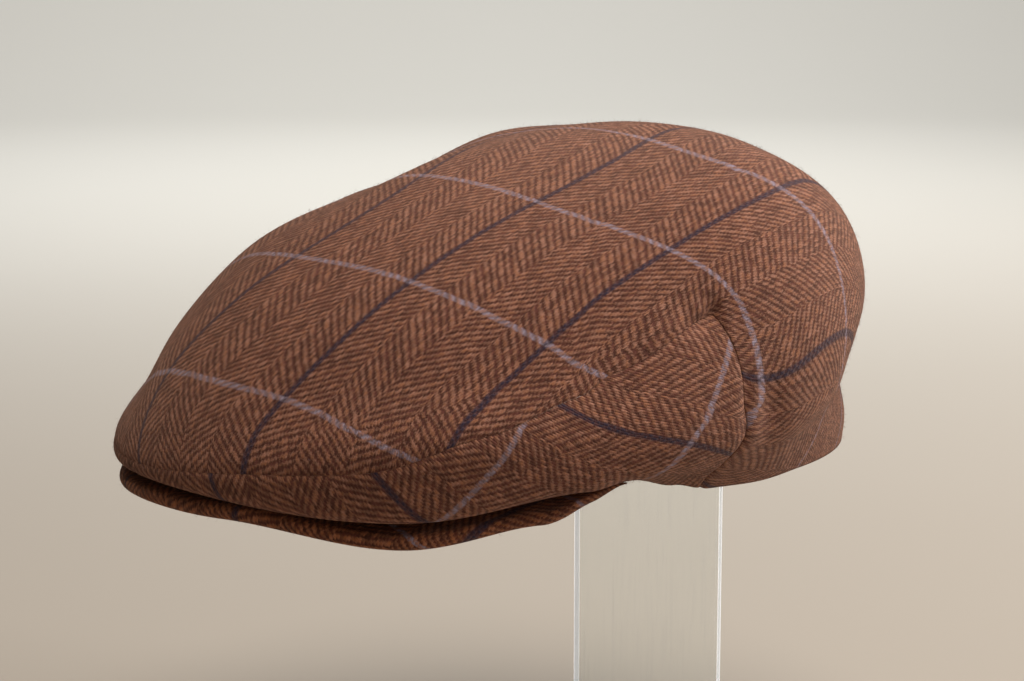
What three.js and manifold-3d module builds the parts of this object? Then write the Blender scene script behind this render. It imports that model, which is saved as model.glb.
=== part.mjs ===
// A tweed driving cap on a clear display stand, in millimetres with +Z up and the cap's front at -X.
//
// The cap's own origin is the middle of the head opening, in the plane of its rim.
// The crown is one smooth surface S(angle, run). The angle goes round the crown's highest point from
// the centre front (0) to the centre back (180), negative on the wearer's left. The run goes down the
// surface: 0 at the highest point, 1 at the widest edge, TURN_RUN where the cloth has turned under, and
// RIM_RUN at the rim of the head opening. Each panel is a wall over its own region of that surface.

import * as THREE from 'three';
import { mergeVertices } from 'three/addons/utils/BufferGeometryUtils.js';
import Module from 'manifold-3d';

// Driving dimensions of the crown.
const CLOTH_WALL = 2;
const SEAM_GAP = 0.75;
const WIDEST_X = -5;
const FRONT_LENGTH = 162.5;
const BACK_LENGTH = 104.5;
const HALF_WIDTH = 104;
const FRONT_POWER = 1.95;
const BACK_POWER = 2;
const TOP_X = 28;
const TOP_Z = 108;
const RIM_HALF_LENGTH = 97;
const RIM_HALF_WIDTH = 82.5;
const TURN_RUN = 1.5;
const RIM_RUN = 2;

// The crown's sections from the highest point to the widest edge. edgeZ is the edge's height, topReach
// the share of the radius over which the top stays flat, edgeRise the share of the height over which
// the side stands upright.
const CROWN_SECTIONS = [
  { angle: 0, edgeZ: 13, topReach: 0.82, edgeRise: 0.04 },
  { angle: 90, edgeZ: 32.5, topReach: 0.6, edgeRise: 0.97 },
  { angle: 180, edgeZ: 57, topReach: 0.6, edgeRise: 0.6 },
];

// Where the cloth has turned under: how far in from the widest edge, and how high, then the rim's height.
const TURN_SECTIONS = [
  { angle: 0, turnIn: 8, turnZ: 8, rimZ: 12 },
  { angle: 28, turnIn: 8, turnZ: 1.2, rimZ: 9.5 },
  { angle: 48, turnIn: 8, turnZ: 8, rimZ: 6.5 },
  { angle: 54, turnIn: 10, turnZ: 10, rimZ: 5.5 },
  { angle: 62, turnIn: 11, turnZ: 9.5, rimZ: 2.5 },
  { angle: 70, turnIn: 12, turnZ: 9, rimZ: -0.2 },
  { angle: 84, turnIn: 12, turnZ: 9.5, rimZ: -0.8 },
  { angle: 100, turnIn: 11, turnZ: 13, rimZ: 0 },
  { angle: 135, turnIn: 9, turnZ: 23, rimZ: 0 },
  { angle: 180, turnIn: 5.5, turnZ: 25, rimZ: 0 },
];

// The seam between the top panel and a side panel, from the centre front to the apex behind the temple.
const SIDE_SEAM = [
  { angle: 0, run: 0.99 },
  { angle: 12, run: 0.96 },
  { angle: 23, run: 0.98 },
  { angle: 34, run: 0.92 },
  { angle: 45, run: 0.885 },
  { angle: 50, run: 0.86 },
  { angle: 68, run: 0.815 },
];
const { angle: APEX_ANGLE, run: APEX_RUN } = SIDE_SEAM.at(-1);

// Below the apex the back seam bows backwards by this many degrees before it comes back at the rim.
const BACK_SEAM_BOW = 6;

// Dents (negative) and puffs (positive) of the worn cloth, each a soft oval on the surface. along and
// across are its half sizes, turn is the angle from the level direction to its long way, and a fold that
// is on both sides is mirrored.
const CLOTH_FOLDS = [
  { angle: 67, run: 0.82, along: 13, across: 8, turn: 40, height: -2.4, both: true },
  { angle: 73, run: 1.04, along: 12, across: 6, turn: 90, height: -2.6, both: true },
  { angle: 58, run: 1, along: 26, across: 16, turn: -10, height: 2.2, both: true },
  { angle: 86, run: 0.92, along: 24, across: 18, turn: -20, height: 1.8, both: true },
  { angle: 112, run: 1.08, along: 32, across: 13, turn: 0, height: -5.2, both: true },
  { angle: 138, run: 1.8, along: 30, across: 10, turn: 0, height: 1.9, both: true },
  { angle: 14, run: 0.71, along: 26, across: 16, turn: 0, height: -4.9, both: false },
  { angle: 12, run: 0.44, along: 30, across: 16, turn: 0, height: 1.3, both: false },
  { angle: 24, run: 0.3, along: 28, across: 18, turn: 0, height: -3.8, both: false },
  { angle: 44, run: 0.38, along: 22, across: 18, turn: 0, height: -3.7, both: false },
  { angle: 64, run: 0.33, along: 18, across: 16, turn: 0, height: 0.9, both: false },
  { angle: 84, run: 0.26, along: 20, across: 18, turn: 0, height: -1.7, both: false },
  { angle: -138, run: 0.44, along: 26, across: 22, turn: 0, height: -2.2, both: false },
];
const FOLD_DEPTH_REACH = 40;

// The peak: a stiff crescent sewn to the rim's front. edgeIn is how far its outer edge lies inside the
// crown's widest edge, lowZ its lower edge, and thick its thickness there.
const PEAK_SECTIONS = [
  { angle: 0, edgeIn: 1, lowZ: -1, thick: 5.8 },
  { angle: 14, edgeIn: 2.5, lowZ: -2.8, thick: 5.7 },
  { angle: 28, edgeIn: 4.5, lowZ: -8, thick: 5.6 },
  { angle: 48, edgeIn: 14, lowZ: 1.6, thick: 3.2 },
  { angle: 53, edgeIn: 19.5, lowZ: 2, thick: 2.4 },
];
const { angle: PEAK_END } = PEAK_SECTIONS.at(-1);
const PEAK_LEAST_WIDTH = 1;
const PEAK_ROOT_THICK = 3;
const PEAK_ROOT_GAP = 0.9;

// The clear stand: a base plate, a flat upright and a dished rest that lies under the crown's top.
const RIM_HEIGHT = 130;
const SHEET = 3;
const UPRIGHT_FRONT_X = 1;
const UPRIGHT_BACK_X = 63;
const REST_RADIUS = 42;
const REST_GAP = 0.8;
const BASE_LENGTH = 130;
const BASE_WIDTH = 120;
const BASE_THICK = 5;
const BASE_CORNER = 12;

// How finely the surfaces are cut into flat faces.
const SEAM_COLUMNS = 18;
const BACK_COLUMNS = 17;
const DISC_RINGS = 11;
const PANEL_ROWS = 13;
const PEAK_COLUMNS = 30;
const PEAK_STEPS = 5;
const LIP_STEPS = 6;
const REST_RINGS = 4;
const REST_COLUMNS = 24;
const CORNER_STEPS = 6;
const UPRIGHT_STEPS = 8;

const wasm = await Module();
wasm.setup();

// The highest value of b (1 - b)^3, a quarter of the way down, and the steps that slopes are measured over.
const BOW_CREST = 27 / 256;
const ANGLE_STEP = 0.2;
const RUN_STEP = 0.002;
const FINE = 1e-4;

const radians = THREE.MathUtils.degToRad;

/** An angle brought between -180 and 180. */
function signed(angle) {
  return THREE.MathUtils.euclideanModulo(angle + 180, 360) - 180;
}

/** Reads every column of a table at an angle, easing from each row to the next. */
function rowAt(table, angle) {
  const at = Math.abs(signed(angle));
  const next = Math.max(1, table.findIndex((row, i) => i > 0 && at <= row.angle));
  const [from, to] = [table[next - 1], table[next]];
  const share = THREE.MathUtils.clamp((at - from.angle) / (to.angle - from.angle), 0, 1);
  const ease = 0.5 - 0.5 * Math.cos(Math.PI * share);
  const row = {};
  for (const column of Object.keys(from)) row[column] = THREE.MathUtils.lerp(from[column], to[column], ease);
  return row;
}

/** The distance from the highest point to a closed outline, whose level is below 0 inside it. */
function reachOf(level, angle) {
  const [cos, sin] = [-Math.cos(radians(angle)), Math.sin(radians(angle))];
  let [near, far] = [0, FRONT_LENGTH + BACK_LENGTH];
  while (far - near > FINE) {
    const middle = (near + far) / 2;
    if (level(TOP_X + middle * cos, middle * sin) > 0) far = middle;
    else near = middle;
  }
  return near;
}

/** Below 0 inside the crown's outline: two half superellipses that meet at the widest section. */
function crownLevel(x, y) {
  const ahead = x < WIDEST_X;
  const power = ahead ? FRONT_POWER : BACK_POWER;
  const length = ahead ? FRONT_LENGTH : BACK_LENGTH;
  return (Math.abs(x - WIDEST_X) / length) ** power + (Math.abs(y) / HALF_WIDTH) ** power - 1;
}

/** Below 0 inside the head opening's oval. */
function rimLevel(x, y) {
  return (x / RIM_HALF_LENGTH) ** 2 + (y / RIM_HALF_WIDTH) ** 2 - 1;
}

/** A point of a cubic curve in the plane of a section. */
function cubicPoint(a, b, c, d, share) {
  return new THREE.CubicBezierCurve(a, b, c, d).getPoint(share);
}

/** The crown's section at an angle: its radius and height at a run, before the folds. */
function sectionPoint(angle, run) {
  const crown = rowAt(CROWN_SECTIONS, angle);
  const turned = rowAt(TURN_SECTIONS, angle);
  const radius = reachOf(crownLevel, angle);
  const edge = new THREE.Vector2(radius, crown.edgeZ);
  if (run <= 1) {
    const top = new THREE.Vector2(0, TOP_Z);
    const topHandle = new THREE.Vector2(radius * crown.topReach, TOP_Z);
    const edgeHandle = new THREE.Vector2(radius, THREE.MathUtils.lerp(crown.edgeZ, TOP_Z, crown.edgeRise));
    return cubicPoint(top, topHandle, edgeHandle, edge, run);
  }
  const turn = new THREE.Vector2(radius - turned.turnIn, turned.turnZ);
  const rim = new THREE.Vector2(reachOf(rimLevel, angle), turned.rimZ);
  if (run >= TURN_RUN) return turn.lerp(rim, (run - TURN_RUN) / (RIM_RUN - TURN_RUN));
  const handle = edge.distanceTo(turn) / 2;
  const below = new THREE.Vector2(edge.x, edge.y - handle);
  const outside = turn.clone().addScaledVector(rim.clone().sub(turn).normalize(), -handle);
  return cubicPoint(edge, below, outside, turn, (run - 1) / (TURN_RUN - 1));
}

/** A point at a section's angle, its radius from the highest point and its height. */
function placed(angle, radius, height) {
  const turn = radians(angle);
  return new THREE.Vector3(TOP_X - radius * Math.cos(turn), radius * Math.sin(turn), height);
}

/** The smooth crown, before its folds. Below the apex the angle bows backwards, as the back seam does. */
function smoothPoint(angle, run) {
  const below = THREE.MathUtils.clamp((run - APEX_RUN) / (RIM_RUN - APEX_RUN), 0, 1);
  const bow = (below * (1 - below) ** 3) / BOW_CREST;
  const bowed = angle + BACK_SEAM_BOW * bow * Math.sin(radians(angle));
  const { x: radius, y: height } = sectionPoint(bowed, run);
  return placed(bowed, radius, height);
}

/** The two directions along a surface at a point, level and downhill, and its outward normal. */
function axesAt(surface, angle, run) {
  const down = THREE.MathUtils.clamp(run, 2 * RUN_STEP, RIM_RUN - RUN_STEP);
  const level = surface(angle + ANGLE_STEP, down).sub(surface(angle - ANGLE_STEP, down)).normalize();
  const downhill = surface(angle, down + RUN_STEP).sub(surface(angle, down - RUN_STEP)).normalize();
  const normal = level.clone().cross(downhill).normalize();
  return { level, downhill, normal };
}

/** A fold, with its mirror image where it is on both sides. */
function withMirror(fold) {
  return fold.both ? [fold, { ...fold, angle: -fold.angle, turn: -fold.turn }] : [fold];
}

const folds = CLOTH_FOLDS.flatMap(withMirror).map((fold) => {
  const { level, downhill, normal } = axesAt(smoothPoint, fold.angle, fold.run);
  const [cos, sin] = [Math.cos(radians(fold.turn)), Math.sin(radians(fold.turn))];
  const longWay = level.clone().multiplyScalar(cos).addScaledVector(downhill, sin);
  const shortWay = normal.clone().cross(longWay);
  return { ...fold, centre: smoothPoint(fold.angle, fold.run), longWay, shortWay, normal };
});

/** The crown's outer surface with its folds. */
function crownPoint(angle, run) {
  const point = smoothPoint(angle, run);
  const { normal } = axesAt(smoothPoint, angle, run);
  let height = 0;
  for (const fold of folds) {
    const offset = point.clone().sub(fold.centre);
    const along = offset.dot(fold.longWay) / fold.along;
    const across = offset.dot(fold.shortWay) / fold.across;
    const depth = offset.dot(fold.normal) / FOLD_DEPTH_REACH;
    height += fold.height * Math.exp(-along * along - across * across - depth * depth);
  }
  return point.addScaledVector(normal, height);
}

/** The run of the side seam at an angle, level with the apex behind it. */
function seamRun(angle) {
  return Math.abs(angle) >= APEX_ANGLE ? APEX_RUN : rowAt(SIDE_SEAM, angle).run;
}

/** Turns points and triangles into a geometry whose faces point outwards. */
function closedGeometry(points, triangles) {
  const volume = triangles.reduce((sum, [a, b, c]) => {
    return sum + points[a].dot(points[b].clone().cross(points[c])) / 6;
  }, 0);
  const outward = volume > 0 ? triangles : triangles.map(([a, b, c]) => [a, c, b]);
  const geometry = new THREE.BufferGeometry().setFromPoints(points);
  geometry.setIndex(outward.flat());
  return geometry;
}

/** A closed wall: an outer sheet, the same sheet moved in along its normals, and the open edges joined. */
function wallGeometry(outer, inner, faces) {
  const count = outer.length;
  const edges = new Map();
  for (const face of faces) {
    face.forEach((from, i) => edges.set(`${from},${face[(i + 1) % 3]}`, [from, face[(i + 1) % 3]]));
  }
  const triangles = faces.flatMap(([a, b, c]) => [[a, b, c], [a + count, c + count, b + count]]);
  for (const [from, to] of edges.values()) {
    if (edges.has(`${to},${from}`)) continue;
    triangles.push([to, from, from + count], [to, from + count, to + count]);
  }
  return closedGeometry([...outer, ...inner], triangles);
}

/** A sheet of the crown under construction: its surface places and the faces between them. */
class CrownSheet {
  constructor() {
    this.places = [];
    this.faces = [];
  }

  add(angle, run) {
    this.places.push({ angle, run });
    return this.places.length - 1;
  }

  quad(a, b, c, d) {
    this.faces.push([a, b, c], [a, c, d]);
  }

  /** Joins neighbouring rows of places into faces. */
  grid(rows) {
    for (let row = 1; row < rows.length; row += 1) {
      for (let column = 1; column < rows[row].length; column += 1) {
        const [above, below] = [rows[row - 1], rows[row]];
        this.quad(above[column - 1], above[column], below[column], below[column - 1]);
      }
    }
  }

  /** The wall between two depths under the crown's outer surface. */
  wall(depth, thickness) {
    const normals = this.places.map(({ angle, run }) => axesAt(crownPoint, angle, run).normal);
    const at = (depthHere) => this.places.map(({ angle, run }, i) => {
      return crownPoint(angle, run).addScaledVector(normals[i], -depthHere);
    });
    return wallGeometry(at(depth), at(depth + thickness), this.faces);
  }
}

/** Evenly spaced values from one end to the other. */
function steps(from, to, count) {
  return Array.from({ length: count + 1 }, (_, i) => THREE.MathUtils.lerp(from, to, i / count));
}

const seamAngles = steps(0, APEX_ANGLE, SEAM_COLUMNS);
const backAngles = steps(APEX_ANGLE, 360 - APEX_ANGLE, 2 * BACK_COLUMNS);

/** The top panel: a disc out to the side seams, and a skirt from the apexes down the back to the rim. */
function topPanelGeometry() {
  const sheet = new CrownSheet();
  const returning = seamAngles.slice(1, -1).reverse().map((angle) => -angle);
  const columns = [...seamAngles.slice(0, -1), ...backAngles, ...returning].map(signed);
  const pole = sheet.add(0, 0);
  const rings = [];
  for (const share of steps(0, 1, DISC_RINGS).slice(1)) {
    const ring = columns.map((angle) => sheet.add(angle, share * seamRun(angle)));
    rings.push([...ring, ring[0]]);
  }
  rings[0].slice(1).forEach((place, i) => sheet.faces.push([pole, place, rings[0][i]]));
  sheet.grid(rings);
  const firstBack = seamAngles.length - 1;
  const hem = rings.at(-1).slice(firstBack, firstBack + backAngles.length);
  const skirt = steps(APEX_RUN, RIM_RUN, PANEL_ROWS).slice(1).map((run) => {
    return backAngles.map((angle) => sheet.add(signed(angle), run));
  });
  sheet.grid([hem, ...skirt]);
  return sheet.wall(0, CLOTH_WALL);
}

/** The run that lies below the side seam by the seam gap, found step by step down the surface. */
function belowSeam(angle) {
  const start = smoothPoint(angle, seamRun(angle));
  let run = seamRun(angle);
  while (smoothPoint(angle, run).distanceTo(start) < SEAM_GAP) run += RUN_STEP;
  return run;
}

/** A side panel: from the side seam down to the rim, clear of its neighbours by the seam gap. */
function sidePanelGeometry(side) {
  const sheet = new CrownSheet();
  const gapAngle = (angle, run) => {
    const stepLength = smoothPoint(angle, run).distanceTo(smoothPoint(angle + ANGLE_STEP, run));
    return (SEAM_GAP * ANGLE_STEP) / stepLength;
  };
  const columns = seamAngles.map((angle) => {
    const top = belowSeam(angle);
    return steps(top, RIM_RUN, PANEL_ROWS).map((run) => {
      const ahead = angle === 0 ? gapAngle(angle, run) : 0;
      const behind = angle === APEX_ANGLE ? gapAngle(angle, run) : 0;
      return sheet.add(side * (angle + ahead - behind), run);
    });
  });
  sheet.grid(columns);
  return sheet.wall(0, CLOTH_WALL);
}

/** One cross section of the peak, from its root on top, round its lip and back underneath. */
function peakSection(angle) {
  const row = rowAt(PEAK_SECTIONS, angle);
  const { rimZ } = rowAt(TURN_SECTIONS, angle);
  const rootRadius = reachOf(rimLevel, angle);
  const lip = row.thick / 2;
  const lipRadius = reachOf(crownLevel, angle) - row.edgeIn - lip;
  const width = Math.max(lipRadius - rootRadius, PEAK_LEAST_WIDTH);
  const rootTop = rimZ - PEAK_ROOT_GAP;
  const top = steps(0, 1, PEAK_STEPS).map((share) => {
    const height = THREE.MathUtils.lerp(rootTop, row.lowZ + row.thick, share);
    return new THREE.Vector2(rootRadius + share * width, height);
  });
  const round = steps(90, -90, LIP_STEPS).slice(1, -1).map((turn) => {
    const out = rootRadius + width + lip * Math.cos(radians(turn));
    return new THREE.Vector2(out, row.lowZ + lip + lip * Math.sin(radians(turn)));
  });
  const bottom = steps(1, 0, PEAK_STEPS).map((share) => {
    const height = THREE.MathUtils.lerp(rootTop - PEAK_ROOT_THICK, row.lowZ, share);
    return new THREE.Vector2(rootRadius + share * width, height);
  });
  return [...top, ...round, ...bottom].map(({ x: radius, y: height }) => placed(angle, radius, height));
}

/** The triangles that close a section of so many points, zigzagging between its top and its underside. */
function sectionCap(size) {
  const cap = [];
  for (let high = 0; high < size / 2 - 1; high += 1) {
    const low = size - 1 - high;
    cap.push([high, low, high + 1]);
    if (low - 1 > high + 1) cap.push([high + 1, low, low - 1]);
  }
  return cap;
}

/** The peak: its cross sections joined from one end to the other, and closed at both. */
function peakGeometry() {
  const sections = steps(-PEAK_END, PEAK_END, PEAK_COLUMNS).map(peakSection);
  const size = sections[0].length;
  const triangles = [];
  for (let column = 1; column < sections.length; column += 1) {
    for (let i = 0; i < size; i += 1) {
      const [a, b] = [(column - 1) * size + i, (column - 1) * size + ((i + 1) % size)];
      triangles.push([a, b, b + size], [a, b + size, a + size]);
    }
  }
  const last = (sections.length - 1) * size;
  for (const [a, b, c] of sectionCap(size)) triangles.push([a, b, c], [last + a, last + c, last + b]);
  return closedGeometry(sections.flat(), triangles);
}

/** A closed geometry as a solid that can be joined. */
function solidOf(geometry) {
  const bare = geometry.clone();
  bare.deleteAttribute('normal');
  bare.deleteAttribute('uv');
  const merged = mergeVertices(bare, FINE);
  const vertProperties = new Float32Array(merged.getAttribute('position').array);
  const triVerts = new Uint32Array(merged.getIndex().array);
  return new wasm.Manifold(new wasm.Mesh({ numProp: 3, vertProperties, triVerts }));
}

/** A solid as a geometry. */
function geometryOf(solid) {
  const { vertProperties, triVerts } = solid.getMesh();
  const geometry = new THREE.BufferGeometry();
  geometry.setAttribute('position', new THREE.BufferAttribute(vertProperties, 3));
  geometry.setIndex(new THREE.BufferAttribute(triVerts, 1));
  return geometry;
}

/** The run at which the crown's section reaches a radius. */
function runAtRadius(angle, radius) {
  let [near, far] = [0, 1];
  while (far - near > FINE) {
    const middle = (near + far) / 2;
    if (sectionPoint(angle, middle).x > radius) far = middle;
    else near = middle;
  }
  return near;
}

const REST_DEPTH = CLOTH_WALL + REST_GAP;

/** The dished rest, parallel to the inside of the crown's top. */
function restGeometry() {
  const sheet = new CrownSheet();
  const columns = steps(0, 360, REST_COLUMNS).slice(0, -1).map(signed);
  const pole = sheet.add(0, 0);
  const rings = steps(0, REST_RADIUS, REST_RINGS).slice(1).map((radius) => {
    const ring = columns.map((angle) => sheet.add(angle, runAtRadius(angle, radius)));
    return [...ring, ring[0]];
  });
  rings[0].slice(1).forEach((place, i) => sheet.faces.push([pole, place, rings[0][i]]));
  sheet.grid(rings);
  return sheet.wall(REST_DEPTH, SHEET);
}

/** The upright: a flat sheet from the base to the middle of the rest's thickness. */
function uprightGeometry() {
  const outline = new THREE.Shape();
  outline.moveTo(UPRIGHT_FRONT_X, BASE_THICK / 2 - RIM_HEIGHT);
  outline.lineTo(UPRIGHT_BACK_X, BASE_THICK / 2 - RIM_HEIGHT);
  for (const x of steps(UPRIGHT_BACK_X, UPRIGHT_FRONT_X, UPRIGHT_STEPS)) {
    const angle = x < TOP_X ? 0 : 180;
    const { y: height } = sectionPoint(angle, runAtRadius(angle, Math.abs(x - TOP_X)));
    outline.lineTo(x, height - REST_DEPTH - SHEET / 2);
  }
  const geometry = new THREE.ExtrudeGeometry(outline, { depth: SHEET, bevelEnabled: false });
  return geometry.rotateX(Math.PI / 2).translate(0, SHEET / 2, 0);
}

/** The base plate, with round corners, centred under the upright. */
function baseGeometry() {
  const [halfLength, halfWidth] = [BASE_LENGTH / 2 - BASE_CORNER, BASE_WIDTH / 2 - BASE_CORNER];
  const outline = new THREE.Shape();
  outline.absarc(halfLength, halfWidth, BASE_CORNER, 0, Math.PI / 2);
  outline.absarc(-halfLength, halfWidth, BASE_CORNER, Math.PI / 2, Math.PI);
  outline.absarc(-halfLength, -halfWidth, BASE_CORNER, Math.PI, 1.5 * Math.PI);
  outline.absarc(halfLength, -halfWidth, BASE_CORNER, 1.5 * Math.PI, 2 * Math.PI);
  const plate = { depth: BASE_THICK, bevelEnabled: false, curveSegments: CORNER_STEPS };
  const middle = (UPRIGHT_FRONT_X + UPRIGHT_BACK_X) / 2;
  return new THREE.ExtrudeGeometry(outline, plate).translate(middle, 0, -RIM_HEIGHT);
}

/** The stand: base, upright and rest joined into one clear piece. */
function standGeometry() {
  const [base, upright, rest] = [baseGeometry(), uprightGeometry(), restGeometry()].map(solidOf);
  return geometryOf(base.add(upright).add(rest));
}

const tweed = { color: 0x6b4428, roughness: 0.95, metalness: 0 };
const clear = { color: 0xe8eeee, roughness: 0.06, metalness: 0, transparent: true, opacity: 0.25 };

/** A named piece with its own material. */
function piece(name, geometry, finish) {
  geometry.computeVertexNormals();
  const mesh = new THREE.Mesh(geometry, new THREE.MeshStandardMaterial(finish));
  mesh.name = name;
  return mesh;
}

const cap = new THREE.Group();
cap.add(piece('top_panel', topPanelGeometry(), tweed));
cap.add(piece('side_panel_left', sidePanelGeometry(-1), tweed));
cap.add(piece('side_panel_right', sidePanelGeometry(1), tweed));
cap.add(piece('peak', peakGeometry(), tweed));
cap.add(piece('stand', standGeometry(), clear));

// The whole stands on the middle of its box's underside.
const frontX = WIDEST_X - FRONT_LENGTH;
const backX = WIDEST_X + BACK_LENGTH;
cap.position.set(-(frontX + backX) / 2, 0, RIM_HEIGHT);

const object = new THREE.Group();
object.add(cap);

export default object;
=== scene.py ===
"""A tweed driving cap on a clear display stand: its cloth, its finishes and the studio, in metres.

The cap's own origin is the middle of the head opening in the plane of its rim, with the front at -X and the
wearer's left at -Y. The crown is a surface S(angle, run). The angle goes round the crown's highest point from
the centre front (0) to the centre back (180), negative on the wearer's left. The run goes down the surface:
0 at the highest point, 1 at the widest edge, 1.5 where the cloth has turned under and 2 at the rim.
"""

import logging
import math
from collections.abc import Sequence
from dataclasses import dataclass, field, fields
from enum import Enum

import bpy
import numpy as np
from mathutils import Matrix, Vector


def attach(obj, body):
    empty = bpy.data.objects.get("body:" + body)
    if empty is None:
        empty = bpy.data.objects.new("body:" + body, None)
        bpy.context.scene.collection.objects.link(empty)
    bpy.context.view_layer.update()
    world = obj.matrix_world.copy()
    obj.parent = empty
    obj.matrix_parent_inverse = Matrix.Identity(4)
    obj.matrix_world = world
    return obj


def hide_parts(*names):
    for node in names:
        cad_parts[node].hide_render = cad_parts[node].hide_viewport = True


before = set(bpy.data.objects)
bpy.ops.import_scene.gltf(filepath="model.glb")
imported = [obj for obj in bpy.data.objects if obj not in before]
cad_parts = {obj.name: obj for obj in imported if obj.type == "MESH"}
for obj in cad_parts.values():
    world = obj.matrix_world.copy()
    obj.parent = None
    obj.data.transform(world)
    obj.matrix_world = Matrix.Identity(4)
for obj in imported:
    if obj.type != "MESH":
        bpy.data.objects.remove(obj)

Array = np.ndarray
Colour = tuple[float, float, float, float]
Pixels = tuple[tuple[float, float], ...]
Span = tuple[float, float]
Value = float | bpy.types.NodeSocket
LOG = logging.getLogger("driving_cap")
BODY = "root"
CAP_ORIGIN = (0.034, 0, 0.130)
CLOTH_MAP = "cloth"
CLOTH_MIDDLE = 0.5


@dataclass(frozen=True)
class CrownSection:
    """The crown from its highest point to its widest edge, at an angle."""

    angle: float
    edge_z: float
    top_reach: float
    edge_rise: float


@dataclass(frozen=True)
class TurnSection:
    """Where the cloth has turned under, at an angle, and how high its rim then is."""

    angle: float
    turn_in: float
    turn_z: float
    rim_z: float


@dataclass(frozen=True)
class SeamPoint:
    """A place on the seam between the top panel and a side panel."""

    angle: float
    run: float


@dataclass(frozen=True)
class PeakSection:
    """The peak at an angle: its edge inside the crown's edge, its lowest height and its thickness there."""

    angle: float
    edge_in: float
    low_z: float
    thick: float


@dataclass(frozen=True)
class Fold:
    """A soft oval dent (negative height) or puff of the worn cloth, turned from the level direction."""

    angle: float
    run: float
    along: float
    across: float
    turn: float
    height: float
    both: bool

    def mirrored(self) -> "Fold":
        """The same fold on the other side."""
        return Fold(-self.angle, self.run, self.along, self.across, -self.turn, self.height, self.both)


@dataclass(frozen=True)
class SeenLine:
    """A line of the cloth: its number, counted in window lines, and the pixels it passes through."""

    number: float
    pixels: Pixels


CROWN_SECTIONS = (
    CrownSection(angle=0, edge_z=0.013, top_reach=0.82, edge_rise=0.04),
    CrownSection(angle=90, edge_z=0.0325, top_reach=0.6, edge_rise=0.97),
    CrownSection(angle=180, edge_z=0.057, top_reach=0.6, edge_rise=0.6),
)
TURN_SECTIONS = (
    TurnSection(angle=0, turn_in=0.008, turn_z=0.008, rim_z=0.012),
    TurnSection(angle=28, turn_in=0.008, turn_z=0.0012, rim_z=0.0095),
    TurnSection(angle=48, turn_in=0.008, turn_z=0.008, rim_z=0.0065),
    TurnSection(angle=54, turn_in=0.010, turn_z=0.010, rim_z=0.0055),
    TurnSection(angle=62, turn_in=0.011, turn_z=0.0095, rim_z=0.0025),
    TurnSection(angle=70, turn_in=0.012, turn_z=0.009, rim_z=-0.0002),
    TurnSection(angle=84, turn_in=0.012, turn_z=0.0095, rim_z=-0.0008),
    TurnSection(angle=100, turn_in=0.011, turn_z=0.013, rim_z=0),
    TurnSection(angle=135, turn_in=0.009, turn_z=0.023, rim_z=0),
    TurnSection(angle=180, turn_in=0.0055, turn_z=0.025, rim_z=0),
)
SIDE_SEAM = (
    SeamPoint(angle=0, run=0.99),
    SeamPoint(angle=12, run=0.96),
    SeamPoint(angle=23, run=0.98),
    SeamPoint(angle=34, run=0.92),
    SeamPoint(angle=45, run=0.885),
    SeamPoint(angle=50, run=0.86),
    SeamPoint(angle=68, run=0.815),
)
APEX = SIDE_SEAM[-1]
PEAK_SECTIONS = (
    PeakSection(angle=0, edge_in=0.001, low_z=0.0008, thick=0.0054),
    PeakSection(angle=11, edge_in=0.0022, low_z=-0.0004, thick=0.0054),
    PeakSection(angle=28, edge_in=0.0045, low_z=-0.0081, thick=0.0056),
    PeakSection(angle=41.5, edge_in=0.0115, low_z=-0.0034, thick=0.0046),
    PeakSection(angle=48, edge_in=0.014, low_z=0.0006, thick=0.0032),
    PeakSection(angle=53, edge_in=0.0195, low_z=0.002, thick=0.0024),
)

# The main folds, as the solids have them.
MAIN_FOLDS = (
    Fold(angle=67, run=0.82, along=0.013, across=0.008, turn=40, height=-0.0024, both=True),
    Fold(angle=73, run=1.04, along=0.012, across=0.006, turn=90, height=-0.0026, both=True),
    Fold(angle=58, run=1, along=0.026, across=0.016, turn=-10, height=0.0022, both=True),
    Fold(angle=86, run=0.92, along=0.024, across=0.018, turn=-20, height=0.0018, both=True),
    Fold(angle=112, run=1.08, along=0.032, across=0.013, turn=0, height=-0.0052, both=True),
    Fold(angle=138, run=1.8, along=0.030, across=0.010, turn=0, height=0.0019, both=True),
    Fold(angle=14, run=0.71, along=0.026, across=0.016, turn=0, height=-0.0049, both=False),
    Fold(angle=12, run=0.44, along=0.030, across=0.016, turn=0, height=0.0013, both=False),
    Fold(angle=24, run=0.3, along=0.028, across=0.018, turn=0, height=-0.0038, both=False),
    Fold(angle=44, run=0.38, along=0.022, across=0.018, turn=0, height=-0.0037, both=False),
    Fold(angle=64, run=0.33, along=0.018, across=0.016, turn=0, height=0.0009, both=False),
    Fold(angle=84, run=0.26, along=0.020, across=0.018, turn=0, height=-0.0017, both=False),
    Fold(angle=-138, run=0.44, along=0.026, across=0.022, turn=0, height=-0.0022, both=False),
)

# Smaller folds of the cloth alone: a crest over the side seam, creases where the panels meet, slight puffs.
CLOTH_FOLDS = (
    Fold(angle=31, run=0.93, along=0.055, across=0.013, turn=5, height=0.004, both=True),
    Fold(angle=-67, run=0.815, along=0.007, across=0.0022, turn=20, height=-0.0013, both=True),
    Fold(angle=-65.5, run=0.80, along=0.006, across=0.0020, turn=-50, height=0.0010, both=True),
    Fold(angle=-69.5, run=0.83, along=0.006, across=0.0020, turn=70, height=0.0009, both=True),
    Fold(angle=-68.2, run=1.0, along=0.011, across=0.0026, turn=80, height=-0.0015, both=True),
    Fold(angle=-79.5, run=0.436, along=0.009, across=0.0020, turn=0, height=-0.0008, both=False),
    Fold(angle=9, run=0.64, along=0.022, across=0.014, turn=0, height=0.0016, both=False),
    Fold(angle=43, run=0.476, along=0.016, across=0.013, turn=0, height=0.0014, both=False),
    Fold(angle=49, run=0.276, along=0.016, across=0.014, turn=0, height=-0.0008, both=False),
)

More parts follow.
